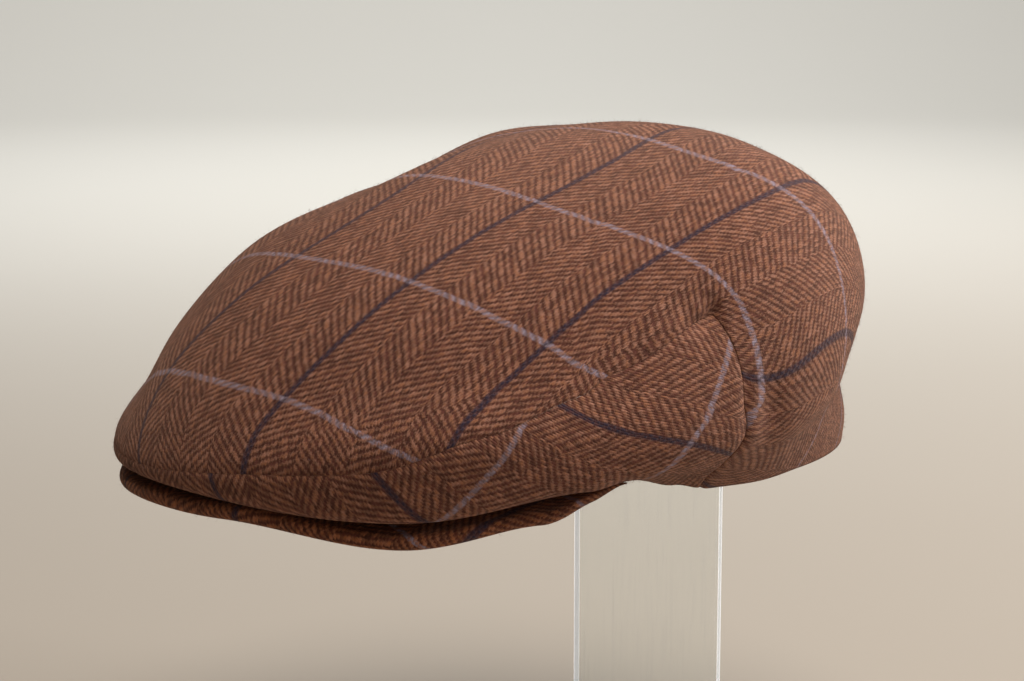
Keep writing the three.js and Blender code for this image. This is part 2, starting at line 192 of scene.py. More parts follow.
# The window lines on the top panel, and between the last two navy ones the breaks of the herringbone.
TOP_NAVY = (
    SeenLine(0, ((137, 418), (157, 390), (175, 366), (200, 334), (230, 303), (260, 280), (298, 256))),
    SeenLine(0, ((330, 237), (380, 206), (420, 179), (440, 168))),
    SeenLine(1, ((237, 470), (250, 445), (268, 420), (286, 397), (310, 368), (340, 342), (370, 314))),
    SeenLine(1, ((412, 280), (450, 252), (490, 228), (538, 202), (580, 181), (620, 159), (658, 142))),
    SeenLine(2, ((449, 446), (470, 416), (500, 388), (548, 345), (590, 305), (630, 277), (670, 249))),
    SeenLine(2, ((710, 226), (750, 206), (779, 190), (795, 182))),
    SeenLine(2.25, ((610, 338), (626, 325), (642, 313), (690, 284), (730, 252), (765, 235), (800, 215))),
    SeenLine(2.5, ((735, 285), (760, 276), (790, 264), (820, 252))),
    SeenLine(2.75, ((764, 336), (780, 322), (798, 312), (820, 300))),
    SeenLine(3, ((743, 384), (761, 377), (780, 368), (800, 356), (820, 344), (840, 332), (858, 322))),
    SeenLine(3.75, ((735, 474),)),
)
TOP_PALE = (
    SeenLine(0, ((160, 369), (175, 369), (205, 379), (235, 388), (265, 394), (290, 399), (320, 413))),
    SeenLine(0, ((345, 427), (378, 446))),
    SeenLine(1, ((255, 255), (278, 254), (300, 257), (340, 265), (370, 271), (412, 280), (445, 294))),
    SeenLine(1, ((465, 306), (548, 345), (575, 360), (600, 378))),
    SeenLine(2, ((418, 179), (445, 179), (475, 185), (505, 190), (538, 203), (580, 219), (625, 232))),
    SeenLine(2, ((670, 249), (705, 268), (727, 290), (742, 306), (752, 326), (759, 352), (761, 377))),
    SeenLine(2, ((758, 402), (750, 424))),
    SeenLine(2.1, ((735, 474),)),
    SeenLine(2.55, ((775, 468),)),
    SeenLine(3, ((591, 125), (620, 134), (658, 144), (690, 154), (722, 167), (757, 178), (779, 190))),
    SeenLine(3, ((800, 200), (820, 220), (832, 245), (840, 270), (843, 300), (845, 328), (843, 355))),
    SeenLine(3, ((832, 400), (825, 415), (818, 448))),
)

# The same on the left side panel, whose cloth is turned end for end.
SIDE_NAVY = (
    SeenLine(-0.5, ((658, 349), (675, 357), (692, 362), (712, 368))),
    SeenLine(-0.25, ((602, 381), (620, 388), (652, 396), (690, 399))),
    SeenLine(0, ((560, 405), (575, 414), (595, 422), (620, 432), (640, 436), (660, 440), (690, 442))),
    SeenLine(0, ((725, 449),)),
    SeenLine(0.25, ((545, 440), (575, 452))),
    SeenLine(0.5, ((497, 465), (522, 482))),
    SeenLine(0.75, ((440, 472), (465, 497))),
    SeenLine(1, ((376, 476), (390, 495), (410, 512))),
    SeenLine(2, ((208, 470), (213, 483))),
)
SIDE_PALE = (
    SeenLine(0, ((728, 343), (730, 352), (724, 378), (712, 407), (699, 432), (680, 453), (660, 476))),
    SeenLine(1, ((525, 421), (511, 449), (490, 475), (478, 486))),
    SeenLine(1.65, ((260, 488),)),
    SeenLine(1.8, ((152, 473),)),
)


def signed(angle: Array) -> Array:
    """Angles in degrees brought between -180 and 180."""
    return np.mod(np.asarray(angle, float) + 180, 360) - 180


def eased(rows: Sequence[object], angle: Array) -> dict[str, Array]:
    """Reads every column of a table at some angles, with a cosine ease from each row to the next.

    Args:
        rows: The table's rows, whose angles rise from the first to the last.
        angle: The angles to read at, in degrees, of either sign.

    Returns:
        The columns by name, each in the shape of the angles.
    """
    names = [column.name for column in fields(rows[0])]
    table = {name: np.array([getattr(row, name) for row in rows], float) for name in names}
    at = np.abs(signed(angle))
    upper = np.clip(np.searchsorted(table["angle"], at), 1, len(rows) - 1)
    low = table["angle"][upper - 1]
    share = np.clip((at - low) / (table["angle"][upper] - low), 0, 1)
    ease = 0.5 - 0.5 * np.cos(np.pi * share)
    return {name: column[upper - 1] * (1 - ease) + column[upper] * ease for name, column in table.items()}


def cubic(a: Array, b: Array, c: Array, d: Array, share: Array) -> Array:
    """A cubic curve from a to d, drawn towards b and then c."""
    rest = 1 - share
    return a * rest**3 + 3 * b * share * rest**2 + 3 * c * share**2 * rest + d * share**3


def unit(vectors: Array) -> Array:
    """Vectors brought to length 1."""
    return vectors / np.maximum(np.linalg.norm(vectors, axis=-1, keepdims=True), 1e-12)


@dataclass(frozen=True)
class CrownForm:
    """The crown's surface: sections round the highest point, as the solids have them, with soft folds."""

    widest_x: float = -0.005
    front_length: float = 0.1625
    back_length: float = 0.1045
    half_width: float = 0.104
    front_power: float = 1.95
    back_power: float = 2
    top_x: float = 0.028
    top_z: float = 0.108
    rim_half_length: float = 0.097
    rim_half_width: float = 0.0825
    turn_run: float = 1.5
    rim_run: float = 2
    back_seam_bow: float = 6
    bow_crest: float = 27 / 256
    fold_depth_reach: float = 0.040
    angle_step: float = 0.2
    run_step: float = 0.002
    halvings: int = 40
    folds: tuple[Fold, ...] = ()

    def edge_radius(self, angle: Array) -> Array:
        """The distance from the highest point to the crown's outline, two half superellipses, by halving."""
        turn = np.radians(angle)
        near = np.zeros_like(turn)
        far = np.full_like(turn, self.front_length + self.back_length)
        for _ in range(self.halvings):
            middle = (near + far) / 2
            x = self.top_x - middle * np.cos(turn) - self.widest_x
            y = middle * np.sin(turn)
            power = np.where(x < 0, self.front_power, self.back_power)
            length = np.where(x < 0, self.front_length, self.back_length)
            outside = (np.abs(x) / length) ** power + (np.abs(y) / self.half_width) ** power > 1
            near, far = np.where(outside, near, middle), np.where(outside, middle, far)
        return near

    def rim_radius(self, angle: Array) -> Array:
        """The distance from below the highest point to the head opening's oval, a quadratic's larger root."""
        turn = np.radians(angle)
        along, aside = -np.cos(turn), np.sin(turn)
        square = (along / self.rim_half_length) ** 2 + (aside / self.rim_half_width) ** 2
        linear = self.top_x * along / self.rim_half_length**2
        constant = (self.top_x / self.rim_half_length) ** 2 - 1
        return (np.sqrt(linear**2 - square * constant) - linear) / square

    def section(self, angle: Array, run: Array) -> tuple[Array, Array]:
        """The crown's radius and height at places, before its folds.

        A cubic goes from the level top to the upright edge, a second one turns under it, and a straight
        line goes in to the rim.

        Args:
            angle: Degrees round the highest point.
            run: How far down the surface.

        Returns:
            The radius from the highest point and the height.
        """
        crown = eased(CROWN_SECTIONS, angle)
        turned = eased(TURN_SECTIONS, angle)
        radius = self.edge_radius(angle)
        edge_z = crown["edge_z"]
        over = np.clip(run, 0, 1)
        under = np.clip((run - 1) / (self.turn_run - 1), 0, 1)
        inward = np.clip((run - self.turn_run) / (self.rim_run - self.turn_run), 0, 1)
        lifted = edge_z + (self.top_z - edge_z) * crown["edge_rise"]
        top_radius = cubic(0, radius * crown["top_reach"], radius, radius, over)
        top_height = cubic(self.top_z, self.top_z, lifted, edge_z, over)
        turn_radius, turn_z = radius - turned["turn_in"], turned["turn_z"]
        rim_radius, rim_z = self.rim_radius(angle), turned["rim_z"]
        handle = np.hypot(turned["turn_in"], edge_z - turn_z) / 2
        inside = np.hypot(rim_radius - turn_radius, rim_z - turn_z)
        from_radius = turn_radius - handle * (rim_radius - turn_radius) / inside
        from_z = turn_z - handle * (rim_z - turn_z) / inside
        under_radius = cubic(radius, radius, from_radius, turn_radius, under)
        under_height = cubic(edge_z, edge_z - handle, from_z, turn_z, under)
        in_radius = turn_radius + (rim_radius - turn_radius) * inward
        in_height = turn_z + (rim_z - turn_z) * inward
        is_over, is_under = run <= 1, run < self.turn_run
        return (
            np.where(is_over, top_radius, np.where(is_under, under_radius, in_radius)),
            np.where(is_over, top_height, np.where(is_under, under_height, in_height)),
        )

    def smooth(self, angle: Array, run: Array) -> Array:
        """Points of the crown before its folds, bowing backwards below the apex as the back seam does."""
        angle, run = np.broadcast_arrays(np.asarray(angle, float), np.asarray(run, float))
        below = np.clip((run - APEX.run) / (self.rim_run - APEX.run), 0, 1)
        bow = below * (1 - below) ** 3 / self.bow_crest
        bowed = angle + self.back_seam_bow * bow * np.sin(np.radians(angle))
        radius, height = self.section(bowed, run)
        turn = np.radians(bowed)
        return np.stack([self.top_x - radius * np.cos(turn), radius * np.sin(turn), height], axis=-1)

    def axes(self, angle: Array, run: Array) -> tuple[Array, Array, Array]:
        """The level and downhill directions and the outward normal of the smooth crown, from small steps."""
        down = np.clip(run, 2 * self.run_step, self.rim_run - self.run_step)
        ahead, behind = self.smooth(angle + self.angle_step, down), self.smooth(angle - self.angle_step, down)
        lower, upper = self.smooth(angle, down + self.run_step), self.smooth(angle, down - self.run_step)
        level, downhill = unit(ahead - behind), unit(lower - upper)
        return level, downhill, unit(np.cross(level, downhill))

    def point(self, angle: Array, run: Array) -> Array:
        """Points of the crown with its folds, each a Gaussian bump along the normal.

        Args:
            angle: Degrees round the highest point.
            run: How far down the surface.

        Returns:
            Points in the cap's frame.
        """
        points = self.smooth(angle, run)
        normal = self.axes(angle, run)[2]
        height = np.zeros(points.shape[:-1])
        for fold in [*self.folds, *(one.mirrored() for one in self.folds if one.both)]:
            level, downhill, out = self.axes(np.array(fold.angle), np.array(fold.run))
            turn = math.radians(fold.turn)
            long_way = level * math.cos(turn) + downhill * math.sin(turn)
            offset = points - self.smooth(fold.angle, fold.run)
            along = offset @ long_way / fold.along
            across = offset @ np.cross(out, long_way) / fold.across
            depth = offset @ out / self.fold_depth_reach
            height += fold.height * np.exp(-(along**2) - across**2 - depth**2)
        return points + normal * height[..., None]

    def seam_run(self, angle: Array) -> Array:
        """The run of the side seam at angles, level with the apex behind it."""
        at = np.abs(signed(angle))
        return np.where(at >= APEX.angle, APEX.run, eased(SIDE_SEAM, np.minimum(at, APEX.angle))["run"])


class Crowding(Enum):
    """Where the steps of a grid lie closest together."""

    NOWHERE = "nowhere"
    START = "start"
    END = "end"
    BOTH = "both"


def steps(count: int, crowding: Crowding, least: float = 0.15) -> Array:
    """Values from 0 to 1, closer together at an end.

    They follow a sine's quarter or half wave, mixed with even steps so that none is shorter than a share of
    the even one.

    Args:
        count: How many steps.
        crowding: The end where they are shortest.
        least: The shortest step's share of an even one.

    Returns:
        One more value than there are steps.
    """
    even = np.linspace(0, 1, count + 1)
    waves = {
        Crowding.NOWHERE: even,
        Crowding.START: 1 - np.cos(np.pi / 2 * even),
        Crowding.END: np.sin(np.pi / 2 * even),
        Crowding.BOTH: 0.5 - 0.5 * np.cos(np.pi * even),
    }
    return least * even + (1 - least) * waves[crowding]


@dataclass
class Patch:
    """A grid of places on the crown, with rows down it and columns across it."""

    down: Array
    across: Array
    angle: Array
    run: Array
    number: Array


def grid_triangles(number: Array) -> Array:
    """Two triangles for each cell of a grid of vertex numbers, without those that a pole flattens."""
    a, b, c, d = number[:-1, :-1], number[:-1, 1:], number[1:, 1:], number[1:, :-1]
    halves = [np.stack(half, axis=-1).reshape(-1, 3) for half in ((a, b, c), (a, c, d))]
    found = np.concatenate(halves)
    return found[np.all(found != np.roll(found, 1, axis=1), axis=1)]


@dataclass
class Sheet:
    """A panel's places, its triangles and the ordered loop of vertices round its open edge."""

    patches: list[Patch]
    loop: Array
    rim: Array
    triangles: Array = field(init=False)
    count: int = field(init=False)

    def __post_init__(self) -> None:
        """Joins the patches' grids into triangles."""
        self.triangles = np.concatenate([grid_triangles(patch.number) for patch in self.patches])
        self.count = int(self.triangles.max()) + 1

    def gathered(self, values: Sequence[Array]) -> Array:
        """Values on each patch's grid, brought into one list by vertex number."""
        flat = np.zeros((self.count, *values[0].shape[2:]))
        for patch, grid in zip(self.patches, values):
            flat[patch.number] = grid
        return flat

    def places(self) -> tuple[Array, Array]:
        """The angle and run of every vertex."""
        angle = self.gathered([patch.angle for patch in self.patches])
        return angle, self.gathered([patch.run for patch in self.patches])


def top_sheet(form: CrownForm, front: int, back: int, rings: int, skirt: int) -> Sheet:
    """The top panel: a disc out to the side seams, and a skirt from the apexes down the back to the rim.

    Args:
        form: The crown.
        front: Columns between the apexes across the front.
        back: Columns between the apexes round the back.
        rings: Rows from the highest point to the seams.
        skirt: Rows from the apexes down to the rim.

    Returns:
        The panel's sheet, whose vertex 0 is the highest point.
    """
    front_angles = APEX.angle * (2 * steps(front, Crowding.NOWHERE) - 1)
    back_angles = APEX.angle + (360 - 2 * APEX.angle) * steps(back, Crowding.BOTH)
    around = np.concatenate([front_angles, back_angles[1:]])
    share = steps(rings, Crowding.END)
    disc_number = 1 + np.arange(rings * (len(around) - 1)).reshape(rings, -1)
    disc_number = np.hstack([disc_number, disc_number[:, :1]])
    disc_number = np.vstack([np.zeros((1, len(around)), int), disc_number])
    disc_angle = np.broadcast_to(signed(around), disc_number.shape)
    disc_run = share[:, None] * form.seam_run(around)
    disc = Patch(share, around, disc_angle, disc_run, disc_number)
    runs = APEX.run + (form.rim_run - APEX.run) * steps(skirt, Crowding.NOWHERE)
    skirt_number = disc_number.max() + 1 + np.arange(skirt * (back + 1)).reshape(skirt, -1)
    skirt_number = np.vstack([disc_number[-1:, front:], skirt_number])
    skirt_angle = np.broadcast_to(signed(back_angles), skirt_number.shape)
    skirt_run = np.broadcast_to(runs[:, None], skirt_number.shape)
    below = Patch(runs, back_angles, skirt_angle, skirt_run, skirt_number)
    right_seam, left_seam = skirt_number[1:, 0], skirt_number[-2:0:-1, -1]
    loop = np.concatenate([disc_number[-1, : front + 1], right_seam, skirt_number[-1, 1:], left_seam])
    return Sheet([disc, below], loop, skirt_number[-1])


def side_sheet(form: CrownForm, columns: int, rows: int, gap: float) -> Sheet:
    """The left side panel: from the side seam down to the rim, clear of its neighbours by the gap.

    Args:
        form: The crown.
        columns: Columns from the back seam to the centre front.
        rows: Rows from the seam to the rim.
        gap: The room left at each seam, in degrees at the ends and as a run at the top.

    Returns:
        The panel's sheet.
    """
    across = gap - APEX.angle + (APEX.angle - 2 * gap) * steps(columns, Crowding.BOTH)
    down = steps(rows, Crowding.START)
    number = np.arange((rows + 1) * (columns + 1)).reshape(rows + 1, columns + 1)
    top = form.seam_run(across) + gap / 100
    run = top + down[:, None] * (form.rim_run - top)
    angle = np.broadcast_to(across, number.shape)
    loop = np.concatenate([number[0], number[1:, -1], number[-1, -2::-1], number[-2:0:-1, 0]])
    return Sheet([Patch(down, across, angle, run, number)], loop, number[-1])


class FlatCut:
    """A panel's cut: its curved sheet laid flat with as little stretch as can be.

    Each triangle is turned, unstretched, to lie best on its flat place. Then flat places are solved for
    whose edges follow the turned triangles, weighted by the cotangents of the angles across from them. The
    two steps repeat.
    """

    LEAST_WEIGHT = 0.05
    TINY = 1e-30

    def __init__(self, points: Array, triangles: Array) -> None:
        """Lays each triangle flat by itself and weighs its edges."""
        corners = points[triangles]
        first, second = corners[:, 1] - corners[:, 0], corners[:, 2] - corners[:, 0]
        length = np.linalg.norm(first, axis=1)
        doubled = np.linalg.norm(np.cross(first, second), axis=1)
        laid = np.zeros((len(triangles), 3, 2))
        laid[:, 1, 0] = length
        laid[:, 2, 0] = (first * second).sum(axis=1) / length
        laid[:, 2, 1] = doubled / length
        following, opposite = np.roll(laid, -1, axis=1), np.roll(laid, -2, axis=1)
        cotangent = ((laid - opposite) * (following - opposite)).sum(axis=2) / doubled[:, None]
        self.count = len(points)
        self.weight = np.maximum(cotangent, self.LEAST_WEIGHT)
        self.edge = laid - following
        self.start, self.end = triangles, np.roll(triangles, -1, axis=1)
        self.area = doubled.sum() / 2
        ends = np.stack([self.start, self.end]).ravel()
        self.diagonal = np.bincount(ends, np.tile(self.weight.ravel(), 2), self.count)[:, None]

    def spread(self, pulls: Array) -> Array:
        """Adds each edge's pull to its start and takes it from its end."""
        totals = [
            np.bincount(self.start.ravel(), pulls[..., axis].ravel(), self.count)
            - np.bincount(self.end.ravel(), pulls[..., axis].ravel(), self.count)
            for axis in range(2)
        ]
        return np.stack(totals, axis=1)

    def stiffness(self, flat: Array) -> Array:
        """The pull that the weighted edges have on every vertex."""
        return self.spread(self.weight[..., None] * (flat[self.start] - flat[self.end]))

    def turned_edges(self, flat: Array) -> Array:
        """The laid edges, each triangle's turned to lie best on its flat place."""
        here = flat[self.start] - flat[self.end]
        same = (self.weight[..., None] * here * self.edge).sum(axis=(1, 2))
        crossed = self.weight * (here[..., 1] * self.edge[..., 0] - here[..., 0] * self.edge[..., 1])
        turn = np.arctan2(crossed.sum(axis=1), same)[:, None]
        x = np.cos(turn) * self.edge[..., 0] - np.sin(turn) * self.edge[..., 1]
        y = np.sin(turn) * self.edge[..., 0] + np.cos(turn) * self.edge[..., 1]
        return np.stack([x, y], axis=-1)

    def solve(self, flat: Array, rounds: int = 40, solves: int = 60) -> Array:
        """Lays the sheet flat.

        Args:
            flat: A first flat place for every vertex, with no triangle turned over.
            rounds: How often the triangles are turned.
            solves: Steps of the conjugate gradient in each round.

        Returns:
            The flat place of every vertex.
        """
        for _ in range(rounds):
            pull = self.spread(self.weight[..., None] * self.turned_edges(flat))
            residual = pull - self.stiffness(flat)
            ready = residual / self.diagonal
            direction, level = ready, (residual * ready).sum()
            for _ in range(solves):
                answer = self.stiffness(direction)
                stride = level / max((direction * answer).sum(), self.TINY)
                flat = flat + stride * direction
                residual = residual - stride * answer
                ready = residual / self.diagonal
                following = (residual * ready).sum()
                direction, level = ready + following / max(level, self.TINY) * direction, following
        return flat


def carried(fine: Array, coarse: Array) -> Array:
    """Weights that carry values at the coarse places to the fine ones, in straight lines between."""
    return np.stack([np.interp(fine, coarse, row) for row in np.eye(len(coarse))], axis=1)


@dataclass(frozen=True)
class PhotoCamera:
    """The photograph's camera, in the cap's frame: it looks from the cap's front left."""

    azimuth: float = -31.6
    elevation: float = 10.7
    distance: float = 0.921
    focal_pixels: float = 2640
    image_width: float = 1024
    image_height: float = 681
    cap_pixel_x: float = 574.8
    cap_pixel_y: float = 438.7

    def axes(self) -> tuple[Array, Array, Array]:
        """The directions to the image's right, to its top and back to the camera."""
        turn, tilt = math.radians(self.azimuth), math.radians(self.elevation)
        right = np.array([math.cos(turn), math.sin(turn), 0])
        level = np.array([math.sin(turn), -math.cos(turn), 0])
        back = level * math.cos(tilt) + np.array([0, 0, math.sin(tilt)])
        return right, np.cross(back, right), back

    def place(self) -> Array:
        """Where the camera is, so that the cap's origin falls on its pixel."""
        right, up, back = self.axes()
        scale = self.distance / self.focal_pixels
        aside = (self.image_width / 2 - self.cap_pixel_x) * scale
        above = (self.cap_pixel_y - self.image_height / 2) * scale
        return right * aside + up * above + back * self.distance

    def pixels(self, points: Array) -> Array:
        """The pixel of each point: its way aside and down over its depth, times the focal length."""
        right, up, back = self.axes()
        offset = points - self.place()
        scale = -self.focal_pixels / (offset @ back)
        x = self.image_width / 2 + scale * (offset @ right)
        return np.stack([x, self.image_height / 2 - scale * (offset @ up)], axis=-1)


@dataclass(frozen=True)
class WindowLines:
    """The cloth's window lines, navy along it and pale across, and the fit of a panel's cloth to them."""

    camera: PhotoCamera = PhotoCamera()
    navy_spacing: float = 0.0503
    pale_spacing: float = 0.0534
    reach: float = 0.042
    slack: float = 0.04
    least_facing: float = 0.15
    pixel_reach: float = 6
    widening: float = 1.5
    hidden: float = 1e4
    depth_room: float = 0.02
    turn_step: float = 0.5

    def nearness(self, points: Array, normal: Array, pixels: Array) -> Array:
        """Weights that give the place seen at each pixel as a mean of vertices.

        They fall off as a Gaussian of the distance in the image and are then tilted, so that the mean falls
        on the pixel itself. Vertices that face away, or lie well behind the nearest ones there, have none.

        Args:
            points: The vertices.
            normal: Their outward normals.
            pixels: The pixels.

        Returns:
            A row of weights for each pixel, with a sum of 1, or of 0 where the panel isn't seen there.
        """
        sight = self.camera.place() - points
        depth = np.linalg.norm(sight, axis=1)
        offset = self.camera.pixels(points) - pixels[:, None]
        away = np.linalg.norm(offset, axis=2) + self.hidden * ((sight * normal).sum(axis=1) <= 0)
        close = away < away.min(axis=1, keepdims=True) + self.pixel_reach
        nearest = np.where(close, depth, np.inf).min(axis=1, keepdims=True)
        away = away + self.hidden * (depth > nearest + self.depth_room)
        least = away.min(axis=1, keepdims=True)
        weight = np.exp(-((away / np.maximum(self.pixel_reach, self.widening * least)) ** 2))
        basis = np.concatenate([np.ones((*weight.shape, 1)), offset / self.pixel_reach], axis=2)
        moment = np.einsum("mn,mni,mnj->mij", weight, basis, basis)
        tilt = np.linalg.solve(moment, np.tile(np.eye(3)[:, :1], (len(pixels), 1, 1)))
        return weight * (basis @ tilt)[..., 0] * (least < self.pixel_reach)

    def grain(self, navy: Array, navy_target: Array, pale: Array, pale_target: Array) -> tuple[Array, Array]:
        """The two directions on the flat cut that lie best across the navy and the pale lines.

        They stay square to each other and unstretched: every turn by half a degree is tried, either way up.

        Args:
            navy: Flat places on navy lines.
            navy_target: How far across the cloth these should be.
            pale: Flat places on pale lines.
            pale_target: How far along the cloth these should be.

        Returns:
            A unit vector across the navy lines and one across the pale ones.
        """
        turn = np.radians(np.arange(0, 360, self.turn_step))
        across = np.tile(np.stack([np.cos(turn), np.sin(turn)]), 2)
        along = np.stack([-across[1], across[0]]) * np.repeat([1, -1], len(turn))
        navy_error = navy_target[:, None] - navy @ across
        pale_error = pale_target[:, None] - pale @ along
        best = np.argmin(navy_error.var(axis=0) + pale_error.var(axis=0))
        return across[:, best], along[:, best]

    def spread(self, points: Array, near: Array, target: Array, facing: Array, straight: Array) -> Array:
        """A straight cloth coordinate, moved so that it meets its targets.

        What is left over is spread from each target's place as a Gaussian of the distance. A target on cloth
        that is seen at a slant is met less closely, because a pixel there is a longer way on the cloth.

        Args:
            points: The sheet's vertices.
            near: The weights of the vertices at each target.
            target: The coordinate's value there.
            facing: The cosine between the normal and the line of sight there.
            straight: The coordinate before the move.

        Returns:
            The moved coordinate for every vertex.
        """
        straight = straight + (target - near @ straight).mean()
        away = np.linalg.norm(points - (near @ points)[:, None], axis=2)
        falling = np.exp(-((away / self.reach) ** 2))
        slack = np.diag(self.slack / np.maximum(facing, self.least_facing) ** 2)
        strength = np.linalg.solve(falling @ near.T + slack, target - near @ straight)
        return straight + strength @ falling

    def fitted(
        self, points: Array, normal: Array, flat: Array, navy: Sequence[SeenLine], pale: Sequence[SeenLine]
    ) -> Array:
        """Two cloth coordinates for every vertex: across the navy lines and across the pale ones, in metres.

        Args:
            points: The sheet's vertices.
            normal: Their outward normals.
            flat: Their places on the flat cut.
            navy: Navy lines with the pixels they pass through.
            pale: Pale lines with the pixels they pass through.

        Returns:
            The coordinates, 0 on the first line of each kind.
        """
        facing = (unit(self.camera.place() - points) * normal).sum(axis=1)
        found = []
        for lines, spacing in ((navy, self.navy_spacing), (pale, self.pale_spacing)):
            pixels = np.concatenate([np.array(line.pixels, float) for line in lines])
            target = np.concatenate([np.full(len(line.pixels), line.number * spacing) for line in lines])
            near = self.nearness(points, normal, pixels)
            seen = near.any(axis=1)
            found.append((near[seen], target[seen], near[seen] @ facing))
        (near_navy, navy_target, _), (near_pale, pale_target, _) = found
        ways = self.grain(near_navy @ flat, navy_target, near_pale @ flat, pale_target)
        return np.stack([self.spread(points, *kind, flat @ way) for kind, way in zip(found, ways)], axis=1)


def travelled(points: Array, axis: int) -> Array:
    """The way along the lines of a grid of points from where they start, along one of its two axes."""
    first = np.take(points, [0], axis=axis)
    return np.cumsum(np.linalg.norm(np.diff(points, axis=axis, prepend=first), axis=2), axis=axis)


def vertex_normals(points: Array, triangles: Array) -> Array:
    """Normals at vertices, from the triangles around them by their areas."""
    corners = points[triangles]
    facing = np.cross(corners[:, 1] - corners[:, 0], corners[:, 2] - corners[:, 0])
    total = np.zeros_like(points)
    for axis in range(3):
        total[:, axis] = np.bincount(triangles.ravel(), np.repeat(facing[:, axis], 3), len(points))
    return unit(total)


def distance_to(points: Array, line: Array, block: int = 2000) -> Array:
    """The distance from each point to the nearest of a line's points, in blocks to spare memory."""
    blocks = np.array_split(points, max(1, len(points) // block))
    return np.concatenate([np.sqrt(((part[:, None] - line) ** 2).sum(axis=2).min(axis=1)) for part in blocks])


@dataclass
class ClothMesh:
    """A mesh ready for Blender: points in the cap's frame, triangles, and cloth coordinates in metres."""

    points: Array
    triangles: Array
    cloth: Array

    def outward(self) -> "ClothMesh":
        """The same mesh with its faces pointing out, by the sign of its volume."""
        a, b, c = (self.points[self.triangles[:, corner]] for corner in range(3))
        volume = (a * np.cross(b, c)).sum()
        return self if volume > 0 else ClothMesh(self.points, self.triangles[:, ::-1], self.cloth)

    def mirrored(self) -> "ClothMesh":
        """The same mesh on the other side, still pointing out."""
        return ClothMesh(self.points * (1, -1, 1), self.triangles[:, ::-1], self.cloth)


def cloth_wall(
    outer: Array, sheet: Sheet, cloth: Array, thickness: float, seam_bulge: float = 0.1, edge_turn: int = 30
) -> ClothMesh:
    """A closed wall of cloth: the outer sheet, the same sheet moved in, and a half round along its edge.

    Args:
        outer: The outer sheet's points.
        sheet: Its triangles and its edge.
        cloth: Its cloth coordinates.
        thickness: The cloth's thickness.
        seam_bulge: How far the half round stands out at a seam, as a share of that at the rim.
        edge_turn: Degrees between the steps of the half round.

    Returns:
        The closed mesh.
    """
    normal = vertex_normals(outer, sheet.triangles)
    count, edge = len(outer), sheet.loop
    tangent = unit(np.roll(outer[edge], -1, axis=0) - np.roll(outer[edge], 1, axis=0))
    aside = np.cross(tangent, normal[edge])
    inner = outer - normal * thickness
    bulge = np.where(np.isin(edge, sheet.rim), 1.0, seam_bulge)[:, None]
    turns = np.radians(np.arange(edge_turn, 180, edge_turn))
    middle = outer[edge] - normal[edge] * thickness / 2
    aside = thickness / 2 * bulge * aside
    above = thickness / 2 * normal[edge]
    round_edge = [middle + math.cos(turn) * above + math.sin(turn) * aside for turn in turns]
    strip = 2 * count + np.arange(len(turns) * len(edge)).reshape(len(turns), -1)
    ring = np.vstack([edge, strip, edge + count])
    ring = np.hstack([ring, ring[:, :1]])
    triangles = [sheet.triangles, sheet.triangles[:, ::-1] + count, grid_triangles(ring)]
    points = np.concatenate([outer, inner, *round_edge])
    coordinates = np.concatenate([cloth, cloth, *[cloth[edge]] * len(turns)])
    return ClothMesh(points, np.concatenate(triangles), coordinates).outward()


def new_object(
    name: str, shape: ClothMesh, shift: Array, material: bpy.types.Material
) -> bpy.types.Object:
    """Puts a mesh into the scene, moved from the cap's frame to the model's, with its cloth map.

    Args:
        name: The object's name.
        shape: The mesh.
        shift: Where the cap's origin is in the model.
        material: Its finish.

    Returns:
        The new object, at the origin.
    """
    mesh = bpy.data.meshes.new(name)
    mesh.vertices.add(len(shape.points))
    mesh.vertices.foreach_set("co", (shape.points + shift).astype(np.float32).ravel())
    corners = shape.triangles.astype(np.int32).ravel()
    mesh.loops.add(len(corners))
    mesh.loops.foreach_set("vertex_index", corners)
    mesh.polygons.add(len(shape.triangles))
    mesh.polygons.foreach_set("loop_start", np.arange(0, len(corners), 3, dtype=np.int32))
    mesh.polygons.foreach_set("use_smooth", np.ones(len(shape.triangles), bool))
    cloth_map = mesh.uv_layers.new(name=CLOTH_MAP)
    cloth_map.data.foreach_set("uv", (shape.cloth[corners] + CLOTH_MIDDLE).astype(np.float32).ravel())
    mesh.update(calc_edges=True)
    mesh.validate()
    mesh.materials.append(material)
    piece = bpy.data.objects.new(name, mesh)
    bpy.context.scene.collection.objects.link(piece)
    return piece


